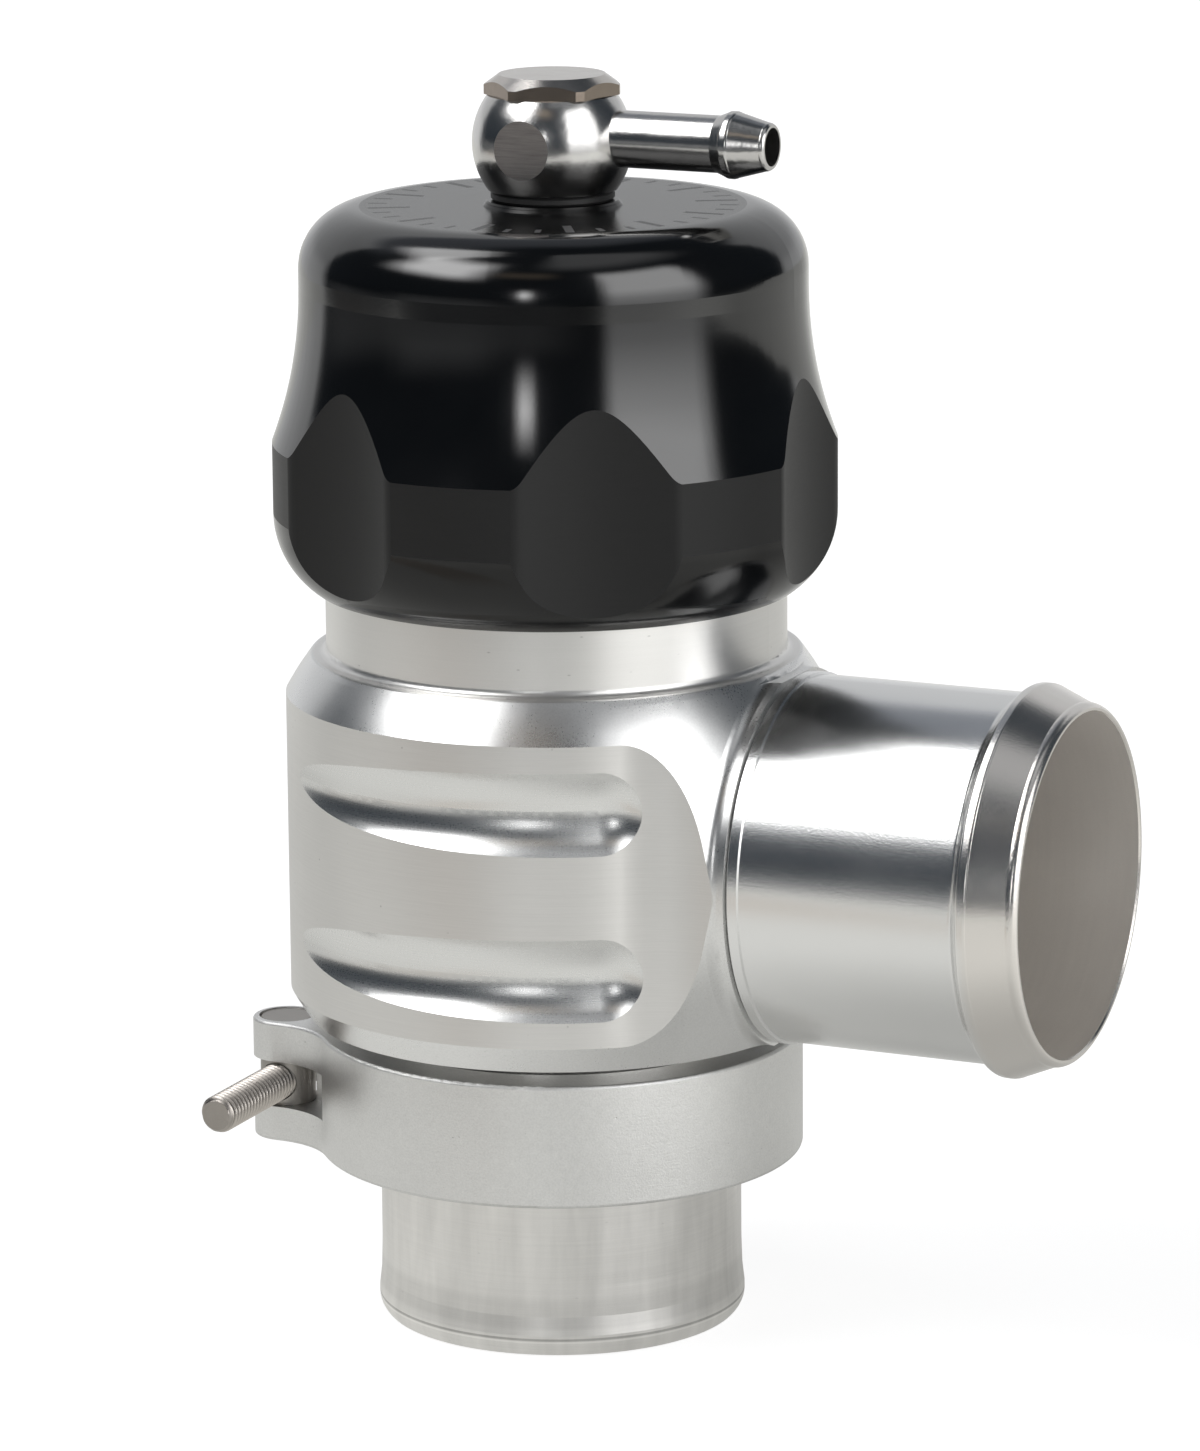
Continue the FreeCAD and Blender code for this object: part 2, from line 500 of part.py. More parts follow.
# ball-milled flutes, two on each side: the cutter's centre runs on an arc, with a round end
tools = []
turn = value["flute_turn"]
for side in (-1, 1):
    for level in (-1, 1):
        tag = "%s_%s" % ("front" if side < 0 else "back", "low" if level < 0 else "high")
        off = value["wall_rad"] + value["flute_ball"] - value["flute_deep"] - value["flute_path"]
        cx = off * math.cos(math.radians(turn))
        cy = side * off * math.sin(math.radians(turn))
        zz = value["axis_z"] + level * value["flute_rise"]
        torus = doc.addObject("Part::Torus", "flute_%s_path" % tag)
        torus.setExpression("Radius1", "dims.flute_path")
        torus.setExpression("Radius2", "dims.flute_ball")
        torus.setExpression("Angle3", "dims.flute_sweep")
        start = -turn + value["flute_end"] - value["flute_sweep"] if side < 0 else turn - value["flute_end"]
        torus.Placement = FreeCAD.Placement(FreeCAD.Vector(cx, cy, zz), FreeCAD.Rotation(FreeCAD.Vector(0, 0, 1), start))
        offx = "(dims.wall_rad + dims.flute_ball - dims.flute_deep - dims.flute_path)"
        torus.setExpression("Placement.Base.x", "%s * cos(dims.flute_turn * 1 deg)" % offx)
        torus.setExpression("Placement.Base.y", "%d * %s * sin(dims.flute_turn * 1 deg)" % (side, offx))
        torus.setExpression("Placement.Base.z", "dims.axis_z + %d * dims.flute_rise" % level)
        ball = doc.addObject("Part::Sphere", "flute_%s_end" % tag)
        ball.setExpression("Radius", "dims.flute_ball")
        ea = math.radians(turn - value["flute_end"])
        ball.Placement = FreeCAD.Placement(FreeCAD.Vector(
            cx + value["flute_path"] * math.cos(ea), cy + side * value["flute_path"] * math.sin(ea), zz), FreeCAD.Rotation())
        ang = "((dims.flute_turn - dims.flute_end) * 1 deg)"
        ball.setExpression("Placement.Base.x", "%s * cos(dims.flute_turn * 1 deg) + dims.flute_path * cos%s" % (offx, ang))
        ball.setExpression("Placement.Base.y", "%d * (%s * sin(dims.flute_turn * 1 deg) + dims.flute_path * sin%s)" % (side, offx, ang))
        ball.setExpression("Placement.Base.z", "dims.axis_z + %d * dims.flute_rise" % level)
        tools += [torus, ball]
fuse = doc.addObject("Part::MultiFuse", "flute_tools")
fuse.Shapes = tools
cut = doc.addObject("Part::Cut", "valve_body_cut")
cut.Base = b
cut.Tool = fuse
cut.Label = "valve_body"
doc.recompute()
parts.append(cut)

# ---------------------------------------------------------------- outlet tube
# Its own origin is on the outlet's axis. A stepped root presses into the boss.
b = new_body("outlet_tube")
turned(b, "tube_turned", [
    (d.tube_root, d.tube_bore), (d.tube_root, d.tube_spigot), (d.boss_end + 0.02, d.tube_spigot),
    (d.boss_end + 0.02, d.collar_rad - 0.35), (d.boss_end + 0.3, d.collar_rad),
    (d.collar_end, d.collar_rad), (d.collar_end + d.collar_gap, d.tube_rad),
    (d.bead_root, d.tube_rad, 0.793, 1), (d.bead_root + 0.65, d.tube_rad + 0.338),
    (d.bead_top - 0.5, d.bead_rad - 0.1, 0.5, -1), (d.bead_top - 0.2, d.bead_rad), (d.bead_top + 0.3, d.bead_rad, 0.5, -1),
    (d.bead_top + 0.6, d.bead_rad - 0.1),
    (d.tube_taper - 0.4, d.tube_tip_rad + 0.5, 1.0, -1), (d.tube_tip, d.tube_tip_rad),
    (d.tube_tip, d.tube_bore + 0.12), (d.tube_tip - 0.2, d.tube_bore)], axis="H_Axis")
lift(b, d.axis_z)
parts.append(b)

# ------------------------------------------------------------------------ cap
# Turned cap: flat top with a big round corner, upright side, a long flare that ends in a
# sharp edge at the wide band, six scallops milled up through the band, and a tucked-in
# lower edge. It is drawn with a scallop on +X and turned a little about the axis.
b = new_body("cap")
corner = d.cap_side - d.cap_flat
out = d.cap_flare_rad - (d.cap_band - d.cap_side)
edge_z = d.cap_flare_z - (d.cap_flare_rad * d.cap_flare_rad - out * out).root()
low_angle = math.radians(55.0)
low_x = d.cap_band - d.cap_low_rad * (1.0 - math.cos(low_angle))
low_zz = d.cap_low_z - d.cap_low_rad * math.sin(low_angle)
turned(b, "cap_turned", [
    (d.cap_hole, d.cap_top + d.cap_boss), (d.cap_hole, d.cap_ceiling),
    (d.cap_inner - 1.5, d.cap_ceiling, 1.5, -1), (d.cap_inner, d.cap_ceiling - 1.5), (d.cap_inner, d.cap_ledge),
    (d.cap_skirt, d.cap_ledge), (d.cap_skirt, d.cap_low + 0.3), (d.cap_skirt + 0.3, d.cap_low), (d.cap_lip, d.cap_low),
    (low_x, low_zz, d.cap_low_rad, 1), (d.cap_band, d.cap_low_z), (d.cap_band, edge_z, d.cap_flare_rad, -1),
    (d.cap_side, d.cap_flare_z),
    (d.cap_side, d.cap_top - corner, corner, 1), (d.cap_flat, d.cap_top),
    (d.cap_boss_rad + 0.3, d.cap_top), (d.cap_boss_rad, d.cap_top + 0.3), (d.cap_boss_rad, d.cap_top + d.cap_boss - 0.2),
    (d.cap_boss_rad - 0.2, d.cap_top + d.cap_boss)])
# the scallop's arc and the band are joined by a fillet that touches both
s_x, s_out = d.scallop_near + d.scallop_rad, d.cap_band + 0.02
s_in = s_out - d.scallop_fillet
f_x = (s_in * s_in - (d.scallop_rad + d.scallop_fillet) * (d.scallop_rad + d.scallop_fillet) + s_x * s_x) / (s_x * 2.0)
f_y = (s_in * s_in - f_x * f_x).root()
near_k, out_k = d.scallop_rad / (d.scallop_rad + d.scallop_fillet), s_out / s_in
n_x, n_y = s_x - (s_x - f_x) * near_k, f_y * near_k
o_x, o_y = f_x * out_k, f_y * out_k


def scallop_plan(sk):
    outline(sk, [
        (n_x, -n_y, d.scallop_rad, -1), (n_x, n_y, d.scallop_fillet, 1), (o_x, o_y), (36.0, 14.0), (36.0, -14.0),
        (o_x, -o_y, d.scallop_fillet, 1)])


scallop = padded(b, "scallop", scallop_plan, "XY_Plane", d.cap_low - 2.0, 32.0, cut=True, reverse=True)
pattern = b.newObject("PartDesign::PolarPattern", "scallops")
pattern.Originals = [scallop]
pattern.Axis = (doc.getObject("scallop_sketch"), ["N_Axis"])
pattern.Angle = 360.0
pattern.Occurrences = 6
b.Tip = pattern
doc.recompute()
b.Placement = FreeCAD.Placement(FreeCAD.Vector(0, 0, 0), FreeCAD.Rotation(FreeCAD.Vector(0, 0, 1), value["cap_turned_by"]))
b.setExpression("Placement.Rotation.Angle", "dims.cap_turned_by * 1 deg")
parts.append(b)

# Ring seal between the cap's skirt and the neck.
ring = doc.addObject("Part::Torus", "cap_o_ring_torus")
ring.Label = "cap_o_ring"
ring.setExpression("Radius1", "dims.cap_groove_rad + 0.02 + dims.cap_ring_cord")
ring.setExpression("Radius2", "dims.cap_ring_cord")
ring.Placement = FreeCAD.Placement(FreeCAD.Vector(0, 0, value["cap_groove_z"]), FreeCAD.Rotation())
ring.setExpression("Placement.Base.z", "dims.cap_groove_z")
parts.append(ring)

# ------------------------------------------------------------- banjo fitting
b = new_body("banjo_washer")
w_low = d.cap_top + d.cap_boss + 0.02
turned(b, "banjo_washer_turned", [
    (d.washer_hole, w_low), (d.washer_rad - 0.25, w_low), (d.washer_rad, w_low + 0.25),
    (d.washer_rad, w_low + d.washer_thick - 0.3), (d.washer_rad - 0.25, w_low + d.washer_thick - 0.05),
    (d.washer_hole, w_low + d.washer_thick - 0.05)])
parts.append(b)

b = new_body("banjo_ball_turned")
cap_x = (d.banjo_rad * d.banjo_rad - d.banjo_half * d.banjo_half).root()
gal = 2.2
turned(b, "ball_turned", [
    (d.banjo_bore, -d.banjo_half), (cap_x, -d.banjo_half, d.banjo_rad, 1), (cap_x, d.banjo_half),
    (d.banjo_bore, d.banjo_half), (d.banjo_bore, gal), (d.banjo_gallery, gal - 0.9), (d.banjo_gallery, -gal + 0.9),
    (d.banjo_bore, -gal)])
flat = padded(b, "ball_flat", lambda sk: outline(sk, [(-9.0, -9.0), (9.0, -9.0), (9.0, 9.0), (-9.0, 9.0)]),
              "XZ_Plane", d.banjo_flat, 4.0, cut=True, reverse=True)
lift(b, d.banjo_mid)
ball_body = b
b = new_body("banjo_tail_turned")
turned(b, "tail_turned", [
    (d.banjo_gallery - 0.4, 0), (d.banjo_gallery - 0.4, d.tail_rad), (d.tail_barb, d.tail_rad),
    (d.tail_peak - 0.45, d.tail_peak_rad - 0.1, 0.5, -1), (d.tail_peak - 0.15, d.tail_peak_rad),
    (d.tail_peak + 0.25, d.tail_peak_rad, 0.5, -1), (d.tail_peak + 0.55, d.tail_peak_rad - 0.1),
    (d.tail_tip - 0.5, d.tail_tip_rad + 0.12, 0.6, -1), (d.tail_tip, d.tail_tip_rad - 0.12), (d.tail_tip, 0)], axis="H_Axis")
lift(b, d.tail_z)
tail_body = b
bore = doc.addObject("Part::Cylinder", "banjo_tail_bore")
bore.setExpression("Radius", "dims.tail_bore")
bore.Height = 24.0
bore.Placement = FreeCAD.Placement(FreeCAD.Vector(5.2, 0, value["tail_z"]), FreeCAD.Rotation(FreeCAD.Vector(0, 1, 0), 90))
bore.setExpression("Placement.Base.z", "dims.tail_z")
joined = doc.addObject("Part::Fuse", "banjo_joined")
joined.Base = ball_body
joined.Tool = tail_body
cut = doc.addObject("Part::Cut", "banjo_fitting_cut")
cut.Base = joined
cut.Tool = bore
cut.Label = "banjo_fitting"
doc.recompute()
parts.append(cut)

# Hollow bolt: a low round head with six milled flats and a chamfered top.
b = new_body("banjo_bolt")
h_top = d.bolt_head_low + d.bolt_head_tall
turned(b, "bolt_turned", [
    (d.bolt_bore, d.bolt_end), (d.bolt_shank - 0.6, d.bolt_end), (d.bolt_shank, d.bolt_end + 0.6), (d.bolt_shank, d.banjo_mid - 3.0),
    (d.bolt_waist, d.banjo_mid - 2.4), (d.bolt_waist, d.banjo_mid + 2.4), (d.bolt_shank, d.banjo_mid + 3.0),
    (d.bolt_shank, d.bolt_head_low + 0.02), (d.bolt_head_rad, d.bolt_head_low + 0.02), (d.bolt_head_rad, h_top - 1.1), (d.bolt_top_rad, h_top),
    (0, h_top), (0, d.bolt_bore_top), (d.bolt_bore, d.bolt_bore_top - 1.0)])
flat1 = padded(b, "bolt_flat", lambda sk: outline(sk, [
    (d.bolt_flats, -6.0), (10.0, -6.0), (10.0, 6.0), (d.bolt_flats, 6.0)]),
    "XY_Plane", d.bolt_head_low - 0.5, 5.0, cut=True, reverse=True)
pattern = b.newObject("PartDesign::PolarPattern", "bolt_flats_all")
pattern.Originals = [flat1]
pattern.Axis = (doc.getObject("bolt_flat_sketch"), ["N_Axis"])
pattern.Angle = 360.0
pattern.Occurrences = 6
b.Tip = pattern
doc.recompute()
padded(b, "bolt_cross_hole", lambda sk: circle_at(sk, 0, d.banjo_mid, d.bolt_cross), "XZ_Plane", ZERO, 12.0, cut=True,
       midplane=True)
# the flats stand at 49 degrees and every 60 from there
b.Placement = FreeCAD.Placement(FreeCAD.Vector(0, 0, 0), FreeCAD.Rotation(FreeCAD.Vector(0, 0, 1), 49))
parts.append(b)

# --------------------------------------------------------------------- piston
b = new_body("piston")
turned(b, "piston_turned", [
    (0, d.piston_low), (d.seal_inner - 0.05, d.piston_low), (d.seal_inner - 0.05, d.seal_high + 0.02),
    (d.seal_outer + 0.05, d.seal_high + 0.02), (d.seal_outer + 0.05, d.piston_low), (d.piston_rad - 1.2, d.piston_low),
    (d.piston_rad, d.piston_low + 1.2),
    (d.piston_rad, d.guide_z), (d.guide_root, d.guide_z), (d.guide_root, d.guide_z + d.guide_tall),
    (d.piston_rad, d.guide_z + d.guide_tall), (d.piston_rad, d.lip_z), (d.lip_root, d.lip_z),
    (d.lip_root, d.lip_z + d.lip_tall), (d.piston_rad, d.lip_z + d.lip_tall), (d.piston_rad, d.piston_top - 0.4), (d.piston_rad - 0.4, d.piston_top),
    (d.piston_inner, d.piston_top), (d.piston_inner, d.piston_floor + 1.0), (d.piston_inner - 1.0, d.piston_floor), (0, d.piston_floor)])
parts.append(b)

b = new_body("piston_guide_ring")
turned(b, "guide_turned", [
    (d.guide_root + 0.03, d.guide_z + 0.03), (d.guide_rad, d.guide_z + 0.03), (d.guide_rad, d.guide_z + d.guide_tall - 0.03),
    (d.guide_root + 0.03, d.guide_z + d.guide_tall - 0.03)])
parts.append(b)

b = new_body("piston_seal")
turned(b, "lip_turned", [
    (d.lip_root + 0.03, d.lip_z + 0.03), (d.lip_rad - 0.5, d.lip_z + 0.03), (d.lip_rad, d.lip_z + 0.5),
    (d.lip_rad, d.lip_z + d.lip_tall - 0.5), (d.lip_rad - 0.5, d.lip_z + d.lip_tall - 0.03), (d.lip_root + 0.03, d.lip_z + d.lip_tall - 0.03)])
parts.append(b)

b = new_body("seat_seal")
turned(b, "seal_turned", [
    (d.seal_inner, d.seal_low + 0.3), (d.seal_inner + 0.3, d.seal_low), (d.seal_outer - 0.3, d.seal_low), (d.seal_outer, d.seal_low + 0.3),
    (d.seal_outer, d.seal_high), (d.seal_inner, d.seal_high)])
parts.append(b)

# Coil spring, cut flat at both ends, from the piston's floor to the thrust disc.
wire, mean, low, high, count = (float(sheet.get(a)) for a in (
    "spring_wire", "spring_mean", "spring_low", "spring_high", "spring_turns"))
rise = (high - low) + 0.4
helix = Part.makeHelix(rise / count, rise, mean)
section = Part.Wire([Part.Circle(FreeCAD.Vector(mean, 0, 0), FreeCAD.Vector(0, 1, 0), wire).toShape()])
coil = Part.Wire(helix.Edges).makePipeShell([section], True, True)
coil.translate(FreeCAD.Vector(0, 0, -0.2))
trim = Part.makeCylinder(mean + 3 * wire, high - low, FreeCAD.Vector(0, 0, 0))
solids = sorted(coil.common(trim).Solids, key=lambda s: -s.Volume)
spring = doc.addObject("Part::Feature", "main_spring_coil")
spring.Label = "main_spring"
spring.Shape = solids[0]
spring.Placement = FreeCAD.Placement(FreeCAD.Vector(0, 0, low), FreeCAD.Rotation())
parts.append(spring)

# Thrust disc: the spring stands on its rim and its hub keeps the coil in the middle.
b = new_body("spring_seat")
turned(b, "seatdisc_turned", [
    (d.seatdisc_bore, d.seatdisc_low - 2.6), (d.seatdisc_hub - 0.6, d.seatdisc_low - 2.6), (d.seatdisc_hub, d.seatdisc_low - 2.0),
    (d.seatdisc_hub, d.seatdisc_low), (d.seatdisc_rad - 0.8, d.seatdisc_low), (d.seatdisc_rad, d.seatdisc_low + 0.8),
    (d.seatdisc_rad, d.seatdisc_high - 1.6), (d.seatdisc_rad - 1.6, d.seatdisc_high), (d.seatdisc_bore, d.seatdisc_high)])
parts.append(b)

# ------------------------------------------------------------ check and write
doc.recompute()
bad = [o.Name for o in doc.Objects if "Invalid" in o.State or "Error" in o.State]
if bad:
    raise RuntimeError("failed objects: %s" % ", ".join(bad))
seen = set()
for p in parts:
    shape = p.Shape
    if shape.isNull() or not shape.isValid() or shape.Volume <= 0 or p.Label in seen:
        raise RuntimeError("bad shape: %s" % p.Label)
    seen.add(p.Label)
os.makedirs("parts", exist_ok=True)
for p in parts:
    p.Shape.exportStep(os.path.join("parts", p.Label + ".step"))
    box = p.Shape.BoundBox
    print("%-20s solids %d volume %9.1f  x %.2f..%.2f  y %.2f..%.2f  z %.2f..%.2f" % (
        p.Label, len(p.Shape.Solids), p.Shape.Volume, box.XMin, box.XMax, box.YMin, box.YMax, box.ZMin, box.ZMax))
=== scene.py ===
import math

import bmesh
import bpy
import numpy as np
from mathutils import Matrix, Vector


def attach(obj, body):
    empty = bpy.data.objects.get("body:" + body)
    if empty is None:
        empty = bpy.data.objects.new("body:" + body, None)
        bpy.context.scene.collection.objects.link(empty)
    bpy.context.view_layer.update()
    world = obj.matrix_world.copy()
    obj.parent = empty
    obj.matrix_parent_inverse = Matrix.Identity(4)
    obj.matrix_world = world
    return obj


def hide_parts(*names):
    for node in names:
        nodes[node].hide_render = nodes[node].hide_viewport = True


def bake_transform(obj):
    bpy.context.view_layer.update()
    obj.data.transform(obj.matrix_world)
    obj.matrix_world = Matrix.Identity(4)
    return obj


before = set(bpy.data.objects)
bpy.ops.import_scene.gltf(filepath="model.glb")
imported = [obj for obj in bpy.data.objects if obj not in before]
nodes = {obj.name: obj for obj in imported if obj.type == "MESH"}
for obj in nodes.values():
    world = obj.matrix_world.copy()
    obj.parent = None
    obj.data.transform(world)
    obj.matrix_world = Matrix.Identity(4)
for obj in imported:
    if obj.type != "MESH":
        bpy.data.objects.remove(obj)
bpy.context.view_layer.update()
scene = bpy.context.scene
scene.view_settings.view_transform = "Standard"
scene.view_settings.look = "None"

# ------------------------------------------------------------------ node helper


class Mat:
    """A material, or the world, with short names for the nodes it is built from."""

    def __init__(self, name, world=False):
        self.m = bpy.data.worlds.new(name) if world else bpy.data.materials.new(name)
        self.m.use_nodes = True
        self.t = self.m.node_tree
        self.t.nodes.clear()

    def node(self, kind, **props):
        n = self.t.nodes.new(kind)
        for k, v in props.items():
            setattr(n, k, v)
        return n

    def put(self, value, socket):
        if isinstance(value, bpy.types.NodeSocket):
            self.t.links.new(value, socket)
        elif value is not None:
            socket.default_value = value

    def math(self, op, a, b=None, c=None, clamp=False):
        n = self.node("ShaderNodeMath", operation=op, use_clamp=clamp)
        for i, v in enumerate((a, b, c)):
            if v is not None:
                self.put(v, n.inputs[i])
        return n.outputs[0]

    def vec(self, op, a, b=None, scale=None):
        n = self.node("ShaderNodeVectorMath", operation=op)
        self.put(a, n.inputs[0])
        if b is not None:
            self.put(b, n.inputs[1])
        if scale is not None:
            self.put(scale, n.inputs["Scale"])
        return n.outputs["Value"] if op in ("LENGTH", "DISTANCE", "DOT_PRODUCT") else n.outputs[0]

    def place(self):
        """Position in the part's own frame, in millimetres."""
        n = self.node("ShaderNodeTexCoord")
        return self.vec("SCALE", n.outputs["Object"], scale=1000.0)

    def parts(self, v):
        n = self.node("ShaderNodeSeparateXYZ")
        self.put(v, n.inputs[0])
        return n.outputs[0], n.outputs[1], n.outputs[2]

    def join(self, x, y, z):
        n = self.node("ShaderNodeCombineXYZ")
        for i, v in enumerate((x, y, z)):
            self.put(v, n.inputs[i])
        return n.outputs[0]

    def noise(self, v, scale=1.0, detail=2.0, rough=0.5, distort=0.0):
        n = self.node("ShaderNodeTexNoise")
        n.noise_dimensions = "3D"
        self.put(v, n.inputs["Vector"])
        n.inputs["Scale"].default_value = scale
        n.inputs["Detail"].default_value = detail
        n.inputs["Roughness"].default_value = rough
        n.inputs["Distortion"].default_value = distort
        return n.outputs["Fac"]

    def cells(self, v, scale=1.0, out="Distance", randomness=1.0):
        n = self.node("ShaderNodeTexVoronoi")
        self.put(v, n.inputs["Vector"])
        n.inputs["Scale"].default_value = scale
        n.inputs["Randomness"].default_value = randomness
        return n.outputs[out]

    def span(self, v, a, b, to_a=0.0, to_b=1.0, smooth=True):
        n = self.node("ShaderNodeMapRange", interpolation_type="SMOOTHSTEP" if smooth else "LINEAR")
        n.clamp = True if hasattr(n, "clamp") else None
        self.put(v, n.inputs["Value"])
        for k, x in (("From Min", a), ("From Max", b), ("To Min", to_a), ("To Max", to_b)):
            n.inputs[k].default_value = x
        return n.outputs["Result"]

    def blend(self, f, a, b):
        n = self.node("ShaderNodeMix", data_type="RGBA", blend_type="MIX")
        self.put(f, n.inputs[0])
        self.put(tuple(a) + (1.0,) if isinstance(a, (tuple, list)) and len(a) == 3 else a, n.inputs[6])
        self.put(tuple(b) + (1.0,) if isinstance(b, (tuple, list)) and len(b) == 3 else b, n.inputs[7])
        return n.outputs[2]

    def tint(self, f, rgb):
        """A colour times a number."""
        n = self.node("ShaderNodeVectorMath", operation="SCALE")
        n.inputs[0].default_value = rgb
        self.put(f, n.inputs["Scale"])
        return n.outputs[0]

    def bump(self, height, strength, distance, normal=None):
        n = self.node("ShaderNodeBump")
        n.inputs["Strength"].default_value = strength
        n.inputs["Distance"].default_value = distance
        self.put(height, n.inputs["Height"])
        if normal is not None:
            self.put(normal, n.inputs["Normal"])
        return n.outputs[0]

    def surface(self, colour, rough, normal=None, metallic=1.0, **direct):
        p = self.node("ShaderNodeBsdfPrincipled")
        self.put(tuple(colour) + (1.0,) if isinstance(colour, (tuple, list)) and len(colour) == 3 else colour, p.inputs["Base Color"])
        self.put(rough, p.inputs["Roughness"])
        p.inputs["Metallic"].default_value = metallic
        if normal is not None:
            self.put(normal, p.inputs["Normal"])
        for k, v in direct.items():
            name = k.replace("_", " ")
            self.put(v, p.inputs[name])
        o = self.node("ShaderNodeOutputMaterial")
        self.t.links.new(p.outputs[0], o.inputs[0])
        return self.m


# -------------------------------------------------------------------- materials


def grain(m, p, size=7.0):
    return m.noise(p, size, 3.0, 0.6)


def satin_body():
    """Tumbled aluminium of the ball, shoulder and boss: fine even grain and a few pits."""
    m = Mat("satin_body")
    p = m.place()
    fine, broad = grain(m, p, 5.0), m.noise(p, 0.16, 3.0, 0.55)
    pit = m.cells(p, 0.42)
    pits = m.span(pit, 0.0, 0.07, 1.0, 0.0)
    tone = m.math("ADD", m.math("MULTIPLY", m.span(fine, 0.3, 0.7, 0.0, 1.0, smooth=False), 0.08), m.math("MULTIPLY", broad, 0.06))
    tone = m.math("ADD", tone, 0.735)
    tone = m.math("SUBTRACT", tone, m.math("MULTIPLY", pits, 0.12))
    col = m.tint(tone, (1.0, 1.0, 0.992))
    rough = m.math("ADD", m.math("MULTIPLY", broad, 0.08), m.math("ADD", m.math("MULTIPLY", fine, 0.08), 0.21))
    n = m.bump(fine, 0.3, 0.000014)
    return m.surface(col, rough, n)


def panel():
    """The upright milled wall: fine level brush lines, a slightly warm tone and small pits."""
    m = Mat("brushed_wall")
    p = m.place()
    x, y, z = m.parts(p)
    arc = m.math("MULTIPLY", m.math("ARCTAN2", y, x), 28.1)
    lines = m.noise(m.join(m.math("MULTIPLY", arc, 0.05), 0.0, m.math("MULTIPLY", z, 4.5)), 1.0, 5.0, 0.65)
    fine = m.noise(m.join(m.math("MULTIPLY", arc, 0.35), 7.0, m.math("MULTIPLY", z, 13.0)), 1.0, 3.0, 0.6)
    broad = m.noise(p, 0.11, 2.0, 0.5)
    pit = m.cells(p, 0.5)
    pits = m.math("MULTIPLY", m.span(pit, 0.0, 0.075, 1.0, 0.0), m.span(m.noise(p, 0.2, 1.0), 0.5, 0.62))
    both = m.math("ADD", m.math("MULTIPLY", lines, 0.55), m.math("MULTIPLY", fine, 0.45))
    tone = m.math("ADD", m.math("MULTIPLY", m.span(both, 0.3, 0.7, 0.0, 1.0, smooth=False), 0.07), m.math("ADD", m.math("MULTIPLY", broad, 0.07), 0.71))
    tone = m.math("SUBTRACT", tone, m.math("MULTIPLY", pits, 0.3))
    col = m.tint(tone, (1.0, 0.988, 0.968))
    rough = m.math("ADD", m.math("MULTIPLY", both, 0.10), 0.29)
    n = m.bump(both, 0.5, 0.00001)
    return m.surface(col, rough, n, Anisotropic=0.2, Anisotropic_Rotation=0.25)


def flute():
    """Ball-milled flutes: brighter than the wall, with faint cutter lines along them."""
    m = Mat("milled_flute")
    p = m.place()
    x, y, z = m.parts(p)
    arc = m.math("MULTIPLY", m.math("ARCTAN2", y, x), 27.0)
    lines = m.noise(m.join(m.math("MULTIPLY", arc, 0.06), 0.0, m.math("MULTIPLY", z, 7.0)), 1.0, 3.0, 0.6)
    fine = grain(m, p, 7.0)
    tone = m.math("ADD", m.math("MULTIPLY", lines, 0.04), m.math("ADD", m.math("MULTIPLY", fine, 0.04), 0.77))
    col = m.tint(tone, (1.0, 1.0, 0.99))
    rough = m.math("ADD", m.math("MULTIPLY", lines, 0.06), m.math("ADD", m.math("MULTIPLY", fine, 0.06), 0.22))
    n = m.bump(m.math("ADD", lines, m.math("MULTIPLY", fine, 0.5)), 0.3, 0.00001)
    return m.surface(col, rough, n, Anisotropic=0.5)


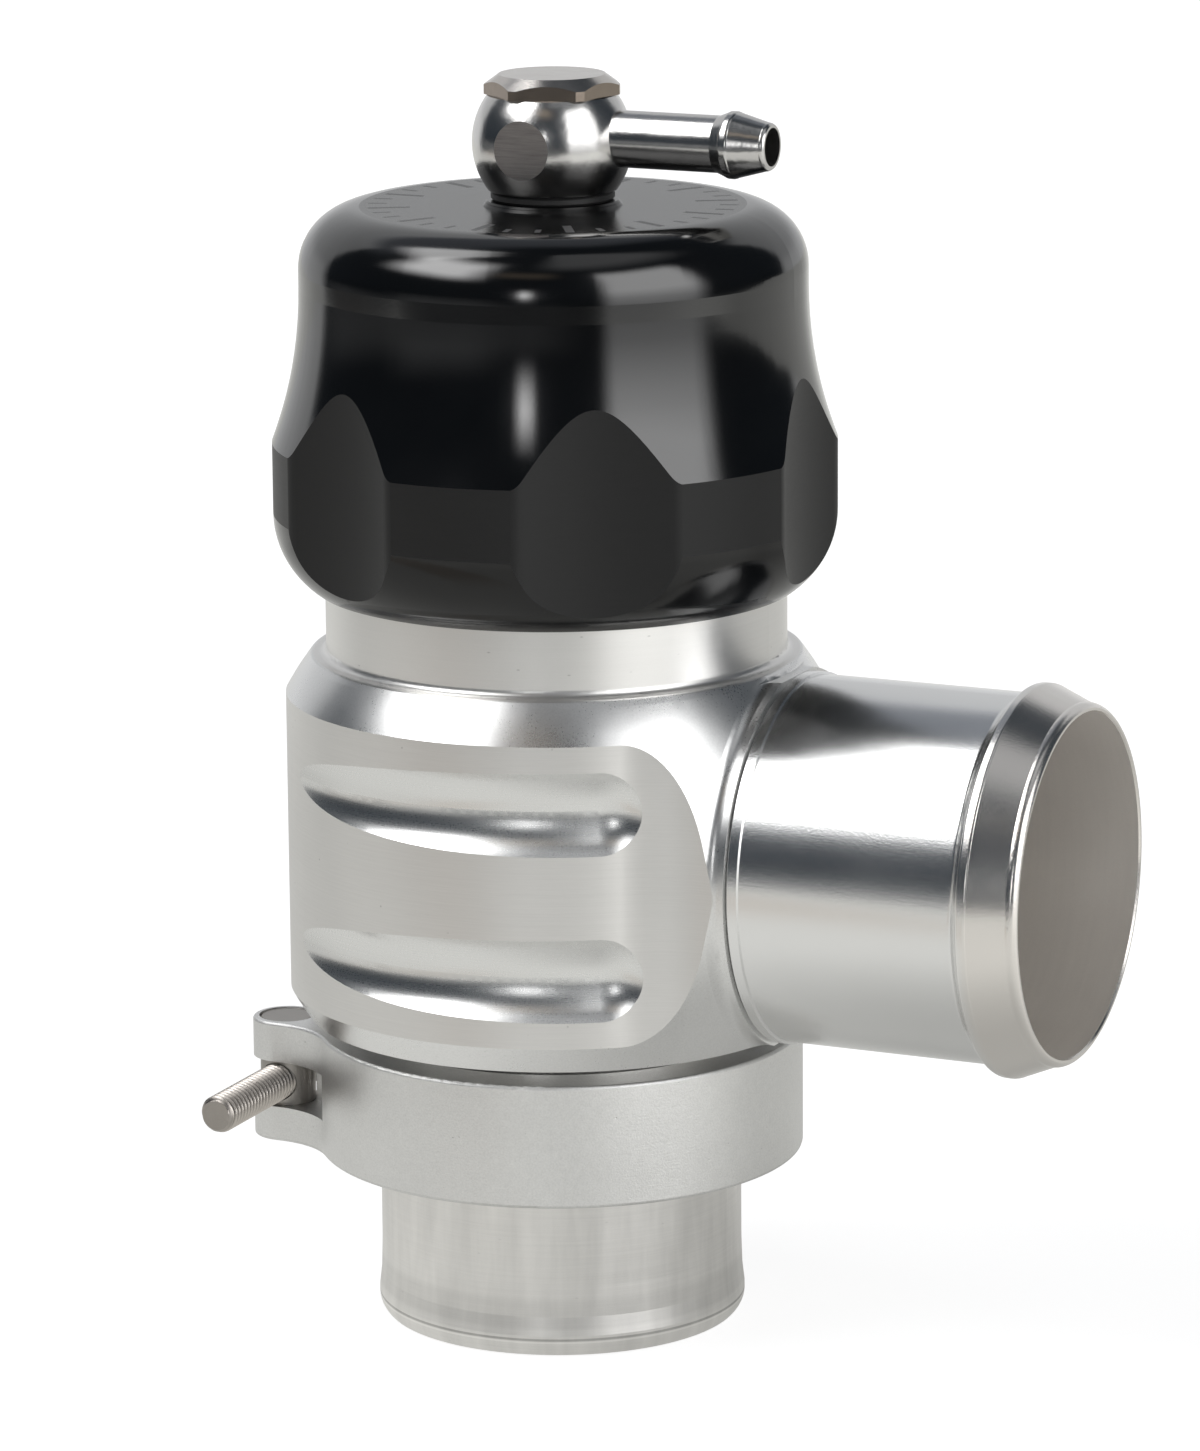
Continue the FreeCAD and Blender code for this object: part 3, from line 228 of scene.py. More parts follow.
def turned_alloy(name, base=(1.0, 0.99, 0.97), tone0=0.74, rough0=0.27, ring=7.0, depth=0.000008, about="Z", marks=0.0, lines_amount=0.06, crease=False):
    """Aluminium as it came off the lathe: fine rings round its axis, small rubs and specks."""
    m = Mat(name)
    p = m.place()
    x, y, z = m.parts(p)
    if about == "X":
        x, z = z, x
        z0 = 51.0
        x = m.math("SUBTRACT", x, z0)
    r = m.math("SQRT", m.math("ADD", m.math("MULTIPLY", x, x), m.math("MULTIPLY", y, y)))
    turn = m.math("ARCTAN2", y, x)
    coarse = m.noise(m.join(m.math("MULTIPLY", turn, 0.8), m.math("MULTIPLY", r, ring * 0.5), m.math("MULTIPLY", z, ring * 0.5)), 1.0, 4.0, 0.65)
    fine = m.noise(m.join(m.math("MULTIPLY", turn, 4.0), m.math("MULTIPLY", r, ring * 2.0), m.math("MULTIPLY", z, ring * 2.0)), 1.0, 2.0, 0.6)
    broad = m.noise(p, 0.13, 3.0, 0.55)
    speck = m.noise(p, 6.0, 2.0, 0.5)
    both = m.math("ADD", m.math("MULTIPLY", coarse, 0.6), m.math("MULTIPLY", fine, 0.4))
    tone = m.math("ADD", m.math("MULTIPLY", both, lines_amount), m.math("ADD", m.math("MULTIPLY", broad, 0.05), tone0))
    tone = m.math("ADD", tone, m.math("MULTIPLY", speck, 0.03))
    if crease:
        # the soft edge below the small flare: a painted highlight line on the step and a painted shade line just above
        # it, and rubbed bands from hoses
        line = m.math("MULTIPLY", m.span(z, 1.62, 1.72), m.span(z, 1.86, 1.96, 1.0, 0.0))
        glint = m.math("MULTIPLY", m.span(z, 1.38, 1.46), m.span(z, 1.54, 1.62, 1.0, 0.0))
        rub_band = m.math("MULTIPLY", m.span(z, 2.6, 3.2), m.span(z, 5.4, 6.6, 1.0, 0.0))
        tone = m.math("SUBTRACT", tone, m.math("MULTIPLY", line, 0.32))
        tone = m.math("ADD", tone, m.math("MULTIPLY", glint, 0.12))
        tone = m.math("SUBTRACT", tone, m.math("MULTIPLY", m.math("MULTIPLY", rub_band, coarse), 0.16))
        streak = m.noise(m.join(m.math("MULTIPLY", turn, 7.0), m.math("MULTIPLY", z, 0.05), 0.0), 1.0, 3.0, 0.6)
        tone = m.math("ADD", tone, m.math("MULTIPLY", m.span(streak, 0.35, 0.7, -0.05, 0.07, smooth=False), 1.0))
    if marks:
        rub = m.cells(m.vec("MULTIPLY", p, (0.25, 0.25, 0.6)), 1.0)
        tone = m.math("SUBTRACT", tone, m.math("MULTIPLY", m.span(rub, 0.0, 0.07, 1.0, 0.0), marks))
    col = m.tint(tone, base)
    rough = m.math("ADD", m.math("MULTIPLY", both, 0.10), m.math("ADD", m.math("MULTIPLY", broad, 0.06), rough0))
    n = m.bump(m.math("ADD", both, m.math("MULTIPLY", speck, 0.35)), 0.5, depth)
    return m.surface(col, rough, n, Anisotropic=0.2, Anisotropic_Rotation=0.25)


def polished_tube():
    """Drawn and polished outlet tube: soft mirror with a fine speckled grain."""
    m = Mat("polished_tube")
    p = m.place()
    fine, broad = m.noise(p, 4.2, 3.0, 0.65), m.noise(p, 0.14, 3.0, 0.5)
    x, y, z = m.parts(p)
    drawn = m.noise(m.join(m.math("MULTIPLY", x, 0.35), m.math("MULTIPLY", y, 5.0), m.math("MULTIPLY", z, 5.0)), 1.0, 2.0, 0.6)
    tone = m.math("ADD", m.math("MULTIPLY", fine, 0.05), m.math("ADD", m.math("MULTIPLY", broad, 0.04), 0.80))
    # painted reflection: past x = 51.5 the bead end is tinted warm
    col = m.vec("MULTIPLY", m.tint(tone, (1.0, 1.0, 0.995)), m.blend(m.span(x, 51.5, 53.5), (1.0, 1.0, 1.0), (0.96, 0.925, 0.89)))
    rough = m.math("ADD", m.math("MULTIPLY", fine, 0.09), m.math("ADD", m.math("MULTIPLY", broad, 0.06), 0.155))
    n = m.bump(m.math("ADD", fine, m.math("MULTIPLY", drawn, 0.3)), 0.5, 0.000016)
    return m.surface(col, rough, n)


def tube_bore():
    """Inside of the tube: duller, slightly warm, with faint bands."""
    m = Mat("tube_bore")
    p = m.place()
    x, y, z = m.parts(p)
    band = m.noise(m.join(m.math("MULTIPLY", x, 1.6), m.math("MULTIPLY", y, 0.1), m.math("MULTIPLY", z, 0.1)), 1.0, 4.0, 0.6)
    broad, fine = m.noise(p, 0.12, 3.0, 0.5), m.noise(p, 5.0, 2.0, 0.6)
    tone = m.math("ADD", m.math("MULTIPLY", band, 0.07), m.math("ADD", m.math("MULTIPLY", broad, 0.08), m.math("ADD", m.math("MULTIPLY", fine, 0.05), 0.74)))
    col = m.tint(tone, (1.0, 0.962, 0.915))
    rough = m.math("ADD", m.math("MULTIPLY", broad, 0.08), m.math("ADD", m.math("MULTIPLY", band, 0.06), 0.34))
    return m.surface(col, rough, m.bump(m.math("ADD", band, fine), 0.5, 0.00001), metallic=0.8)


def black_gloss(name="black_gloss", ior=1.78):
    """Gloss black anodised cap, with a very fine orange-peel and dust."""
    m = Mat(name)
    p = m.place()
    fine, broad = m.noise(p, 3.0, 3.0, 0.55), m.noise(p, 0.2, 3.0, 0.5)
    dust = m.cells(p, 0.55)
    specks = m.math("MULTIPLY", m.span(dust, 0.0, 0.045, 1.0, 0.0), m.span(m.noise(p, 0.33, 1.0), 0.52, 0.66))
    tone = m.math("ADD", m.math("MULTIPLY", broad, 0.0015), m.math("ADD", m.math("MULTIPLY", specks, 0.03), 0.0007))
    col = m.tint(tone, (1.0, 1.0, 1.04))
    rough = m.math("ADD", m.math("MULTIPLY", broad, 0.035), m.math("ADD", m.math("MULTIPLY", specks, 0.2), 0.10))
    n = m.bump(fine, 0.25, 0.000006)
    return m.surface(col, rough, n, metallic=0.0, IOR=ior, Specular_IOR_Level=0.5)


def black_satin():
    """The scallops: the same black over a milled surface, so softer and greyer."""
    m = Mat("black_satin")
    p = m.place()
    x, y, z = m.parts(p)
    lines = m.noise(m.join(m.math("MULTIPLY", x, 0.4), m.math("MULTIPLY", y, 0.4), m.math("MULTIPLY", z, 6.0)), 1.0, 4.0, 0.6)
    fine = m.noise(p, 8.0, 2.0, 0.6)
    tone = m.math("ADD", m.math("MULTIPLY", lines, 0.003), m.math("ADD", m.math("MULTIPLY", fine, 0.002), 0.0045))
    rough = m.math("ADD", m.math("MULTIPLY", lines, 0.07), m.math("ADD", m.math("MULTIPLY", fine, 0.06), 0.38))
    n = m.bump(m.math("ADD", lines, fine), 0.5, 0.00001)
    return m.surface(m.tint(tone, (1.0, 1.0, 1.02)), rough, n, metallic=0.0, IOR=1.40)


def black_top():
    """The cap's top: faced on a lathe, then anodised: fine rings, and plain tick marks near its rim."""
    m = Mat("black_top")
    p = m.place()
    x, y, z = m.parts(p)
    r = m.math("SQRT", m.math("ADD", m.math("MULTIPLY", x, x), m.math("MULTIPLY", y, y)))
    turn = m.math("ARCTAN2", y, x)
    rings = m.noise(m.join(m.math("MULTIPLY", r, 6.0), m.math("MULTIPLY", turn, 0.6), 0.0), 1.0, 4.0, 0.6)
    fine = m.noise(p, 6.0, 2.0, 0.6)
    ticks = []
    for step, wide, start in ((10.0, 0.26, 17.0), (30.0, 0.40, 14.6)):
        step = math.radians(step)
        off = m.math("ABSOLUTE", m.math("MULTIPLY", m.math("WRAP", turn, step / 2, -step / 2), r))
        ticks.append(m.math("MULTIPLY", m.span(off, wide, wide + 0.08, 1.0, 0.0), m.math("MULTIPLY", m.span(r, start, start + 0.1), m.span(r, 18.9, 19.0, 1.0, 0.0))))
    tick = m.math("MAXIMUM", ticks[0], ticks[1])
    tone = m.math("ADD", m.math("MULTIPLY", rings, 0.003), m.math("ADD", m.math("MULTIPLY", fine, 0.002), 0.004))
    tone = m.math("ADD", tone, m.math("MULTIPLY", tick, 0.075))
    rough = m.math("ADD", m.math("MULTIPLY", rings, 0.06), m.math("ADD", m.math("MULTIPLY", tick, 0.2), 0.17))
    h = m.math("SUBTRACT", m.math("MULTIPLY", m.math("ADD", rings, fine), 0.4), m.math("MULTIPLY", tick, 0.3))
    n = m.bump(h, 0.5, 0.00001)
    return m.surface(m.tint(tone, (1.0, 1.0, 1.02)), rough, n, metallic=0.0, IOR=1.36)


def nickel(name="bright_nickel", rough0=0.05, tint=(1.0, 0.985, 0.955)):
    """Bright nickel plate with light smears and a slight ripple from the casting below it."""
    m = Mat(name)
    p = m.place()
    ripple, broad, fine = m.noise(p, 0.55, 3.0, 0.5), m.noise(p, 0.3, 3.0, 0.6), m.noise(p, 9.0, 2.0, 0.6)
    tone = m.math("ADD", m.math("MULTIPLY", broad, 0.06), m.math("ADD", m.math("MULTIPLY", fine, 0.03), 0.60))
    col = m.tint(tone, tint)
    rough = m.math("ADD", m.math("MULTIPLY", broad, 0.08), m.math("ADD", m.math("MULTIPLY", fine, 0.06), rough0))
    n = m.bump(m.math("ADD", ripple, m.math("MULTIPLY", fine, 0.012)), 0.6, 0.00006)
    return m.surface(col, rough, n)


def milled_flat():
    """Flat on the banjo: level cutter lines under the plating, duller and darker."""
    m = Mat("milled_flat")
    p = m.place()
    x, y, z = m.parts(p)
    lines = m.noise(m.join(m.math("MULTIPLY", x, 0.25), 0.0, m.math("MULTIPLY", z, 5.0)), 1.0, 4.0, 0.7)
    tone = m.math("ADD", m.math("MULTIPLY", lines, 0.45), 0.16)
    col = m.tint(tone, (1.0, 0.93, 0.90))
    return m.surface(col, m.math("ADD", m.math("MULTIPLY", lines, 0.2), 0.30), m.bump(lines, 0.8, 0.00002))


def stainless(name="stainless_steel", tone0=0.56, rough0=0.22):
    m = Mat(name)
    p = m.place()
    broad, fine = m.noise(p, 0.7, 3.0, 0.6), m.noise(p, 9.0, 2.0, 0.6)
    tone = m.math("ADD", m.math("MULTIPLY", broad, 0.12), m.math("ADD", m.math("MULTIPLY", fine, 0.08), tone0))
    col = m.tint(tone, (1.0, 0.945, 0.885))
    rough = m.math("ADD", m.math("MULTIPLY", broad, 0.12), m.math("ADD", m.math("MULTIPLY", fine, 0.08), rough0))
    return m.surface(col, rough, m.bump(fine, 0.4, 0.000012))


def thread_steel():
    """The screw: steel darkened towards the thread's roots and full on its crests, painted shade in the grooves."""
    m = Mat("thread_steel")
    p = m.place()
    x, y, z = m.parts(p)
    dx, dz = m.math("ADD", x, 27.5), m.math("SUBTRACT", z, 24.0)
    r = m.math("SQRT", m.math("ADD", m.math("MULTIPLY", dx, dx), m.math("MULTIPLY", dz, dz)))
    broad, fine = m.noise(p, 0.7, 3.0, 0.6), m.noise(p, 9.0, 2.0, 0.6)
    # painted shade: colour falls to a tenth in the thread's roots; past y = -25.3 at the tip it stays at least 0.72
    root_shade = m.math("MULTIPLY", m.span(r, 1.55, 1.93, 0.10, 1.0), 1.0)
    root_shade = m.math("MAXIMUM", root_shade, m.math("MULTIPLY", m.span(y, -25.1, -25.3, 0.0, 1.0), 0.72))
    tone = m.math("ADD", m.math("MULTIPLY", broad, 0.12), m.math("ADD", m.math("MULTIPLY", fine, 0.10), 0.46))
    col = m.tint(m.math("MULTIPLY", tone, root_shade), (1.0, 0.93, 0.86))
    rough = m.math("ADD", m.math("MULTIPLY", broad, 0.12), m.math("ADD", m.math("MULTIPLY", fine, 0.08), 0.30))
    return m.surface(col, rough, m.bump(fine, 0.5, 0.000015))


def rubber(name="seal_rubber", tone0=0.012):
    m = Mat(name)
    p = m.place()
    broad, fine = m.noise(p, 0.6, 3.0, 0.6), m.noise(p, 8.0, 2.0, 0.6)
    tone = m.math("ADD", m.math("MULTIPLY", broad, 0.008), m.math("ADD", m.math("MULTIPLY", fine, 0.006), tone0))
    rough = m.math("ADD", m.math("MULTIPLY", broad, 0.15), m.math("ADD", m.math("MULTIPLY", fine, 0.08), 0.38))
    return m.surface(m.tint(tone, (1.0, 1.0, 1.0)), rough, m.bump(fine, 0.5, 0.00002), metallic=0.0)


def plastic(name="guide_plastic"):
    m = Mat(name)
    p = m.place()
    broad, fine = m.noise(p, 0.4, 3.0, 0.6), m.noise(p, 6.0, 2.0, 0.6)
    tone = m.math("ADD", m.math("MULTIPLY", broad, 0.08), m.math("ADD", m.math("MULTIPLY", fine, 0.03), 0.60))
    return m.surface(m.tint(tone, (1.0, 0.97, 0.90)), m.math("ADD", m.math("MULTIPLY", broad, 0.1), 0.4), m.bump(fine, 0.4, 0.00001), metallic=0.0)


def clamp_alloy(name="clamp_alloy", rough0=0.30, tone0=0.735):
    """Clamp ring: polished satin with a sparkle of small cast pits."""
    m = Mat(name)
    p = m.place()
    x, y, z = m.parts(p)
    turn = m.math("MULTIPLY", m.math("ARCTAN2", y, x), 25.0)
    lines = m.noise(m.join(m.math("MULTIPLY", turn, 0.3), m.math("MULTIPLY", z, 5.0), 0.0), 1.0, 3.0, 0.6)
    fine, mid, broad = m.noise(p, 5.0, 3.0, 0.65), m.noise(p, 1.1, 3.0, 0.6), m.noise(p, 0.15, 3.0, 0.5)
    pit = m.cells(p, 0.9)
    pits = m.math("MULTIPLY", m.span(pit, 0.0, 0.10, 1.0, 0.0), m.span(m.noise(p, 0.35, 1.0), 0.5, 0.6))
    tone = m.math("ADD", m.math("MULTIPLY", m.span(fine, 0.3, 0.7, 0.0, 1.0, smooth=False), 0.10), m.math("ADD", m.math("MULTIPLY", mid, 0.08), m.math("ADD", m.math("MULTIPLY", broad, 0.06), tone0 - 0.06)))
    tone = m.math("SUBTRACT", tone, m.math("MULTIPLY", pits, 0.22))
    col = m.tint(tone, (1.0, 0.998, 0.985))
    rough = m.math("ADD", m.math("MULTIPLY", fine, 0.08), m.math("ADD", m.math("MULTIPLY", mid, 0.08), rough0))
    h = m.math("ADD", m.math("ADD", fine, m.math("MULTIPLY", lines, 0.4)), m.math("MULTIPLY", pits, -2.0))
    return m.surface(col, rough, m.bump(h, 0.7, 0.00003))


def spring_wire():
    m = Mat("spring_wire")
    p = m.place()
    broad, fine = m.noise(p, 0.5, 3.0, 0.6), m.noise(p, 6.0, 2.0, 0.6)
    tone = m.math("ADD", m.math("MULTIPLY", broad, 0.14), m.math("ADD", m.math("MULTIPLY", fine, 0.05), 0.34))
    return m.surface(m.tint(tone, (1.0, 0.99, 0.96)), m.math("ADD", m.math("MULTIPLY", broad, 0.15), 0.2), m.bump(fine, 0.4, 0.00001))


# ------------------------------------------------- give each CAD node its finish


def shape_of(node):
    """Triangle centres and normals of a node, in millimetres."""
    me = nodes[node].data
    n = len(me.polygons)
    c = np.zeros(n * 3)
    me.polygons.foreach_get("center", c)
    q = np.zeros(n * 3)
    me.polygons.foreach_get("normal", q)
    return c.reshape(-1, 3) * 1000.0, q.reshape(-1, 3)


def wear(node, mats, index=None):
    me = nodes[node].data
    me.materials.clear()
    for m in mats:
        me.materials.append(m)
    me.polygons.foreach_set("material_index", np.zeros(len(me.polygons), np.int32) if index is None else index.astype(np.int32))
    me.update()


STAINLESS, RUBBER = stainless(tone0=0.36, rough0=0.24), rubber()
PISTON = turned_alloy("piston_alloy", tone0=0.68, rough0=0.2)

# valve body: ball, wall, flutes, neck, inside, and a darker underside copy that is painted shade
c, n = shape_of("valve_body")
x, y, z = c.T
r = np.hypot(x, y)
ball = np.abs(np.sqrt(x * x + y * y + (z - 51.0) ** 2) - 32.15) < 0.06
upright = np.abs(n[:, 2]) < 0.03
on_wall = (np.abs(r - 28.1) < 0.05) & (x < 17.5)
on_wall |= (np.abs(np.hypot(x - 25.029, np.abs(y) - 32.6) - 13.0) < 0.05) & (x > 16.8) & (x < 25.3)
on_wall |= (np.abs(np.abs(y) - 19.6) < 0.03) & (x > 24.8)
on_wall &= upright & (z > 32.45) & (z < 70.8)
neck = (z > 70.68) & (r > 22.2)
inside = (r < 24.45) & (z < 70.6) & ((x * n[:, 0] + y * n[:, 1]) < 0)
inside |= (r < 21.7) | ((np.hypot(y, z - 51.0) < 18.05) & (x > 14))
is_flute = ~ball & ~on_wall & (z > 34.5) & (z < 67.5) & (r < 28.2) & (r > 25) & ((x * n[:, 0] + y * n[:, 1]) > 0)
index = np.zeros(len(x), int)
index[on_wall] = 1
index[is_flute] = 2
index[neck] = 3
index[inside] = 4
# painted shade: the outside below z 32.4, between body and clamp, gets a much darker copy of the turned alloy
index[(z < 32.4) & ~inside] = 5
wear("valve_body", [satin_body(), panel(), flute(),
                    turned_alloy("neck_turned", tone0=0.735, rough0=0.26, marks=0.25, lines_amount=0.09), PISTON,
                    turned_alloy("under_neck_painted_shade", tone0=0.24, rough0=0.34)], index)

# outlet tube: outside and bore
c, n = shape_of("outlet_tube")
rr = np.hypot(c[:, 1], c[:, 2] - 51.0)
index = (rr < 17.63).astype(int)
wear("outlet_tube", [polished_tube(), tube_bore()], index)

# cap: gloss side, satin band and scallops, faced top
c, n = shape_of("cap")
x, y, z = c.T
r = np.hypot(x, y)
# the wavy upright band with its scallops is satin all round, the turned faces are gloss
band = (np.abs(n[:, 2]) < 0.002) & (r > 26.85) & (r < 29.12) & ((x * n[:, 0] + y * n[:, 1]) > 0)
index = np.zeros(len(x), int)
index[band] = 1
index[(z > 116.98) & (r < 19.9)] = 2
index[(z < 85.49) & ~band] = 3
wear("cap", [black_gloss(), black_satin(), black_top(), black_gloss("black_gloss_under", 1.44)], index)

# banjo: plated ball and tail, milled flat
c, n = shape_of("banjo_fitting")
index = ((c[:, 1] < -7.6) & (n[:, 1] < -0.99)).astype(int)
NICKEL = nickel(rough0=0.14, tint=(1.0, 0.985, 0.965))
wear("banjo_fitting", [NICKEL, milled_flat()], index)
c, n = shape_of("banjo_bolt")
# painted shade: the hex's upright flats get a darker, browner copy of the nickel than its top
wear("banjo_bolt", [nickel("nickel_bolt", 0.17, (1.0, 0.95, 0.90)), nickel("nickel_bolt_flats_painted_shade", 0.14, (0.50, 0.42, 0.35))],
     ((np.abs(n[:, 2]) < 0.5) & (c[:, 2] > 128.0)).astype(int))
wear("banjo_washer", [rubber("washer_rubber", 0.02)])

wear("base_adaptor", [turned_alloy("adaptor_turned", base=(1.0, 0.985, 0.96), tone0=0.69, rough0=0.25, ring=6.0, marks=0.1, lines_amount=0.16, crease=True)])
c, n = shape_of("clamp_ring")
CLAMP = clamp_alloy()
# painted shade: the rounded edges and chamfers get a rougher copy in a darker colour that dims their highlights
wear("clamp_ring", [CLAMP, clamp_alloy("clamp_rim_painted_shade", 0.46, 0.68)],
     ((np.abs(n[:, 2]) > 0.03) & (np.abs(n[:, 2]) < 0.985)).astype(int))
for name in ("clamp_barrel_nut", "clamp_trunnion"):
    wear(name, [stainless(name + "_steel", 0.28, 0.26)])
wear("clamp_screw", [STAINLESS])
wear("clamp_screw_washer", [STAINLESS])
for name in ("cap_o_ring", "base_o_ring", "piston_seal", "seat_seal"):
    wear(name, [RUBBER])
wear("piston", [PISTON])
wear("spring_seat", [PISTON])
wear("piston_guide_ring", [plastic()])
SPRING = spring_wire()
wear("main_spring", [SPRING])

# ------------------------------------------------------------ threaded clamp screw
# Right-hand M4 thread, 0.7 pitch, along -Y with the tip at y = -25.5 and the socket head at +Y.


def threaded_screw():
    sx, sz = -27.5, 24.0
    tip, seat, pitch = -25.5, 11.9, 0.7
    major, minor = 1.99, 1.47
    around, per = 48, 10
    bm = bmesh.new()
    rows = []
    length = seat - tip
    count = int(length / pitch * per)
    shape = [0.0, 0.22, 0.48, 0.74, 1.0, 1.0, 0.86, 0.60, 0.34, 0.08]
    for i in range(count + 1):
        s = length * i / count
        ring = []
        for k in range(around):
            a = 2 * math.pi * k / around
            # seen from the tip side the crest moves round as it goes along: right-hand
            t = ((s / pitch - a / (2 * math.pi)) % 1.0) * per
            lo = int(t) % per
            f = t - int(t)
            h = shape[lo] * (1 - f) + shape[(lo + 1) % per] * f
            rad = minor + (major - minor) * h
            rad = min(rad, 1.55 + s / 0.5 * 0.44) if s < 0.5 else rad
            if s > length - 0.9:
                rad = minor + (rad - minor) * max(0.0, (length - s) / 0.9)
            ring.append(bm.verts.new(((sx + rad * math.cos(a)) / 1000, (tip + s) / 1000, (sz + rad * math.sin(a)) / 1000)))
        rows.append(ring)
    for a, b in zip(rows, rows[1:]):
        for k in range(around):
            bm.faces.new((a[k], b[k], b[(k + 1) % around], a[(k + 1) % around]))
    # tip end
    inner = [bm.verts.new(((sx + 0.75 * math.cos(2 * math.pi * k / around)) / 1000, (tip + 0.02) / 1000, (sz + 0.75 * math.sin(2 * math.pi * k / around)) / 1000)) for k in range(around)]
    for k in range(around):
        bm.faces.new((rows[0][k], rows[0][(k + 1) % around], inner[(k + 1) % around], inner[k]))
    bm.faces.new(inner)
    # head: knurled rim, chamfered top, hexagonal socket
    knurl = 144
    def loop(rad, yy, ridged=0.0):
        out = []
        for k in range(knurl):
            a = 2 * math.pi * k / knurl
            q = rad - (ridged if k % 3 == 0 else 0.0)
            out.append(bm.verts.new(((sx + q * math.cos(a)) / 1000, yy / 1000, (sz + q * math.sin(a)) / 1000)))
        return out
    def hexed(rad, yy):
        out = []
        for k in range(knurl):
            a = 2 * math.pi * k / knurl
            q = rad / math.cos((a % (math.pi / 3)) - math.pi / 6)
            out.append(bm.verts.new(((sx + q * math.cos(a)) / 1000, yy / 1000, (sz + q * math.sin(a)) / 1000)))
        return out
    y0 = seat
    loops = [loop(1.7, y0), loop(3.3, y0), loop(3.47, y0 + 0.15, 0.0), loop(3.49, y0 + 0.3, 0.13), loop(3.49, y0 + 3.35, 0.13),
             loop(3.44, y0 + 3.5), loop(3.38, y0 + 3.68), loop(3.15, y0 + 3.93), loop(2.95, y0 + 3.99), loop(2.1, y0 + 3.99), hexed(1.62, y0 + 3.99), hexed(1.5, y0 + 3.86), hexed(1.5, y0 + 1.8)]
    for a, b in zip(loops, loops[1:]):
        for k in range(knurl):
            bm.faces.new((a[k], b[k], b[(k + 1) % knurl], a[(k + 1) % knurl]))
    bm.faces.new(loops[-1])
    bm.faces.new(list(reversed(loops[0])))
    bmesh.ops.recalc_face_normals(bm, faces=bm.faces)
    me = bpy.data.meshes.new("clamp_screw_threaded")
    bm.to_mesh(me)
    bm.free()
    o = bpy.data.objects.new("clamp_screw_threaded", me)
    scene.collection.objects.link(o)
    me.shade_smooth()
    me.materials.append(thread_steel())
    return o


screw = threaded_screw()
mod = screw.modifiers.new("edges", "EDGE_SPLIT")
mod.split_angle = math.radians(40)
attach(screw, "screw")
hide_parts("clamp_screw")

# ------------------------------------------------------------------------ lug web
# The near lug's slot is closed beside the barrel nut, so no light comes through it there.


def lug_web():
    plan = [(-24.25, -8.9), (-22.65, -8.9), (-23.15, -7.3), (-24.25, -7.3)]
    bm = bmesh.new()
    low = [bm.verts.new((x / 1000, y / 1000, 0.02147)) for x, y in plan]
    high = [bm.verts.new((x / 1000, y / 1000, 0.02653)) for x, y in plan]
    bm.faces.new(low[::-1])
    bm.faces.new(high)
    for k in range(4):
        bm.faces.new((low[k], low[(k + 1) % 4], high[(k + 1) % 4], high[k]))
    me = bpy.data.meshes.new("lug_web")
    bm.to_mesh(me)
    bm.free()
    o = bpy.data.objects.new("lug_web", me)
    scene.collection.objects.link(o)
    me.materials.append(CLAMP)
    return o


web = lug_web()
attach(web, "base")

# ------------------------------------------------------------------- main spring
# The coil in two halves, cut at its middle height; this script attaches neither half to a body.
MIDDLE = 0.0717


def spring_half(name, low):
    bm = bmesh.new()
    bm.from_mesh(nodes["main_spring"].data)
    bmesh.ops.bisect_plane(bm, geom=bm.verts[:] + bm.edges[:] + bm.faces[:], dist=1e-8, plane_co=(0, 0, MIDDLE),
                           plane_no=(0, 0, 1), clear_outer=low, clear_inner=not low)
    bmesh.ops.remove_doubles(bm, verts=bm.verts[:], dist=1e-8)
    rim = [e for e in bm.edges if len(e.link_faces) == 1]
    bmesh.ops.holes_fill(bm, edges=rim)
    bmesh.ops.triangulate(bm, faces=bm.faces[:])
    bmesh.ops.recalc_face_normals(bm, faces=bm.faces[:])
    me = bpy.data.meshes.new(name)
    bm.to_mesh(me)
    bm.free()
    me.materials.clear()
    me.materials.append(SPRING)
    for poly in me.polygons:
        poly.material_index = 0
    o = bpy.data.objects.new(name, me)
    scene.collection.objects.link(o)
    return o


lower, upper = spring_half("main_spring_lower", True), spring_half("main_spring_upper", False)
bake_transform(lower)
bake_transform(upper)
for half in (lower, upper):
    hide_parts("main_spring")

# ------------------------------------------------------------------------- stage


def add_mesh(name, verts, faces, mat=None):
    me = bpy.data.meshes.new(name)
    me.from_pydata(verts, [], faces)
    o = bpy.data.objects.new(name, me)
    scene.collection.objects.link(o)
    if mat:
        me.materials.append(mat)
    return o


def floor_material():
    m = Mat("pale_floor")
    p = m.place()
    tone = m.math("ADD", m.math("MULTIPLY", m.noise(p, 0.01, 2.0), 0.01), 0.90)
    return m.surface(m.tint(m.math("MULTIPLY", tone, 0.36), (1.0, 1.0, 0.998)), 0.9, metallic=0.0, Specular_IOR_Level=0.1,
                     Emission_Color=(1.0, 1.0, 1.0, 1.0), Emission_Strength=0.82)


floor = add_mesh("floor", [(-12, -12, -0.0002), (12, -12, -0.0002), (12, 12, -0.0002), (-12, 12, -0.0002)], [(0, 1, 2, 3)], floor_material())
floor.visible_glossy = False

# the lit table top as polished metal sees it: near the object only, dark past its edge
m = Mat("table_glow")
p = m.place()
x_, y_, z_ = m.parts(p)
e = m.node("ShaderNodeEmission")
far = m.math("SQRT", m.math("ADD", m.math("MULTIPLY", x_, x_), m.math("MULTIPLY", y_, y_)))
dirn = m.math("MULTIPLY", m.math("ARCTAN2", y_, x_), 57.29578)


def sector(mid, half, soft):
    away = m.math("ABSOLUTE", m.math("WRAP", m.math("SUBTRACT", dirn, mid), 180.0, -180.0))
    return m.span(away, half - soft, half + soft, 1.0, 0.0)


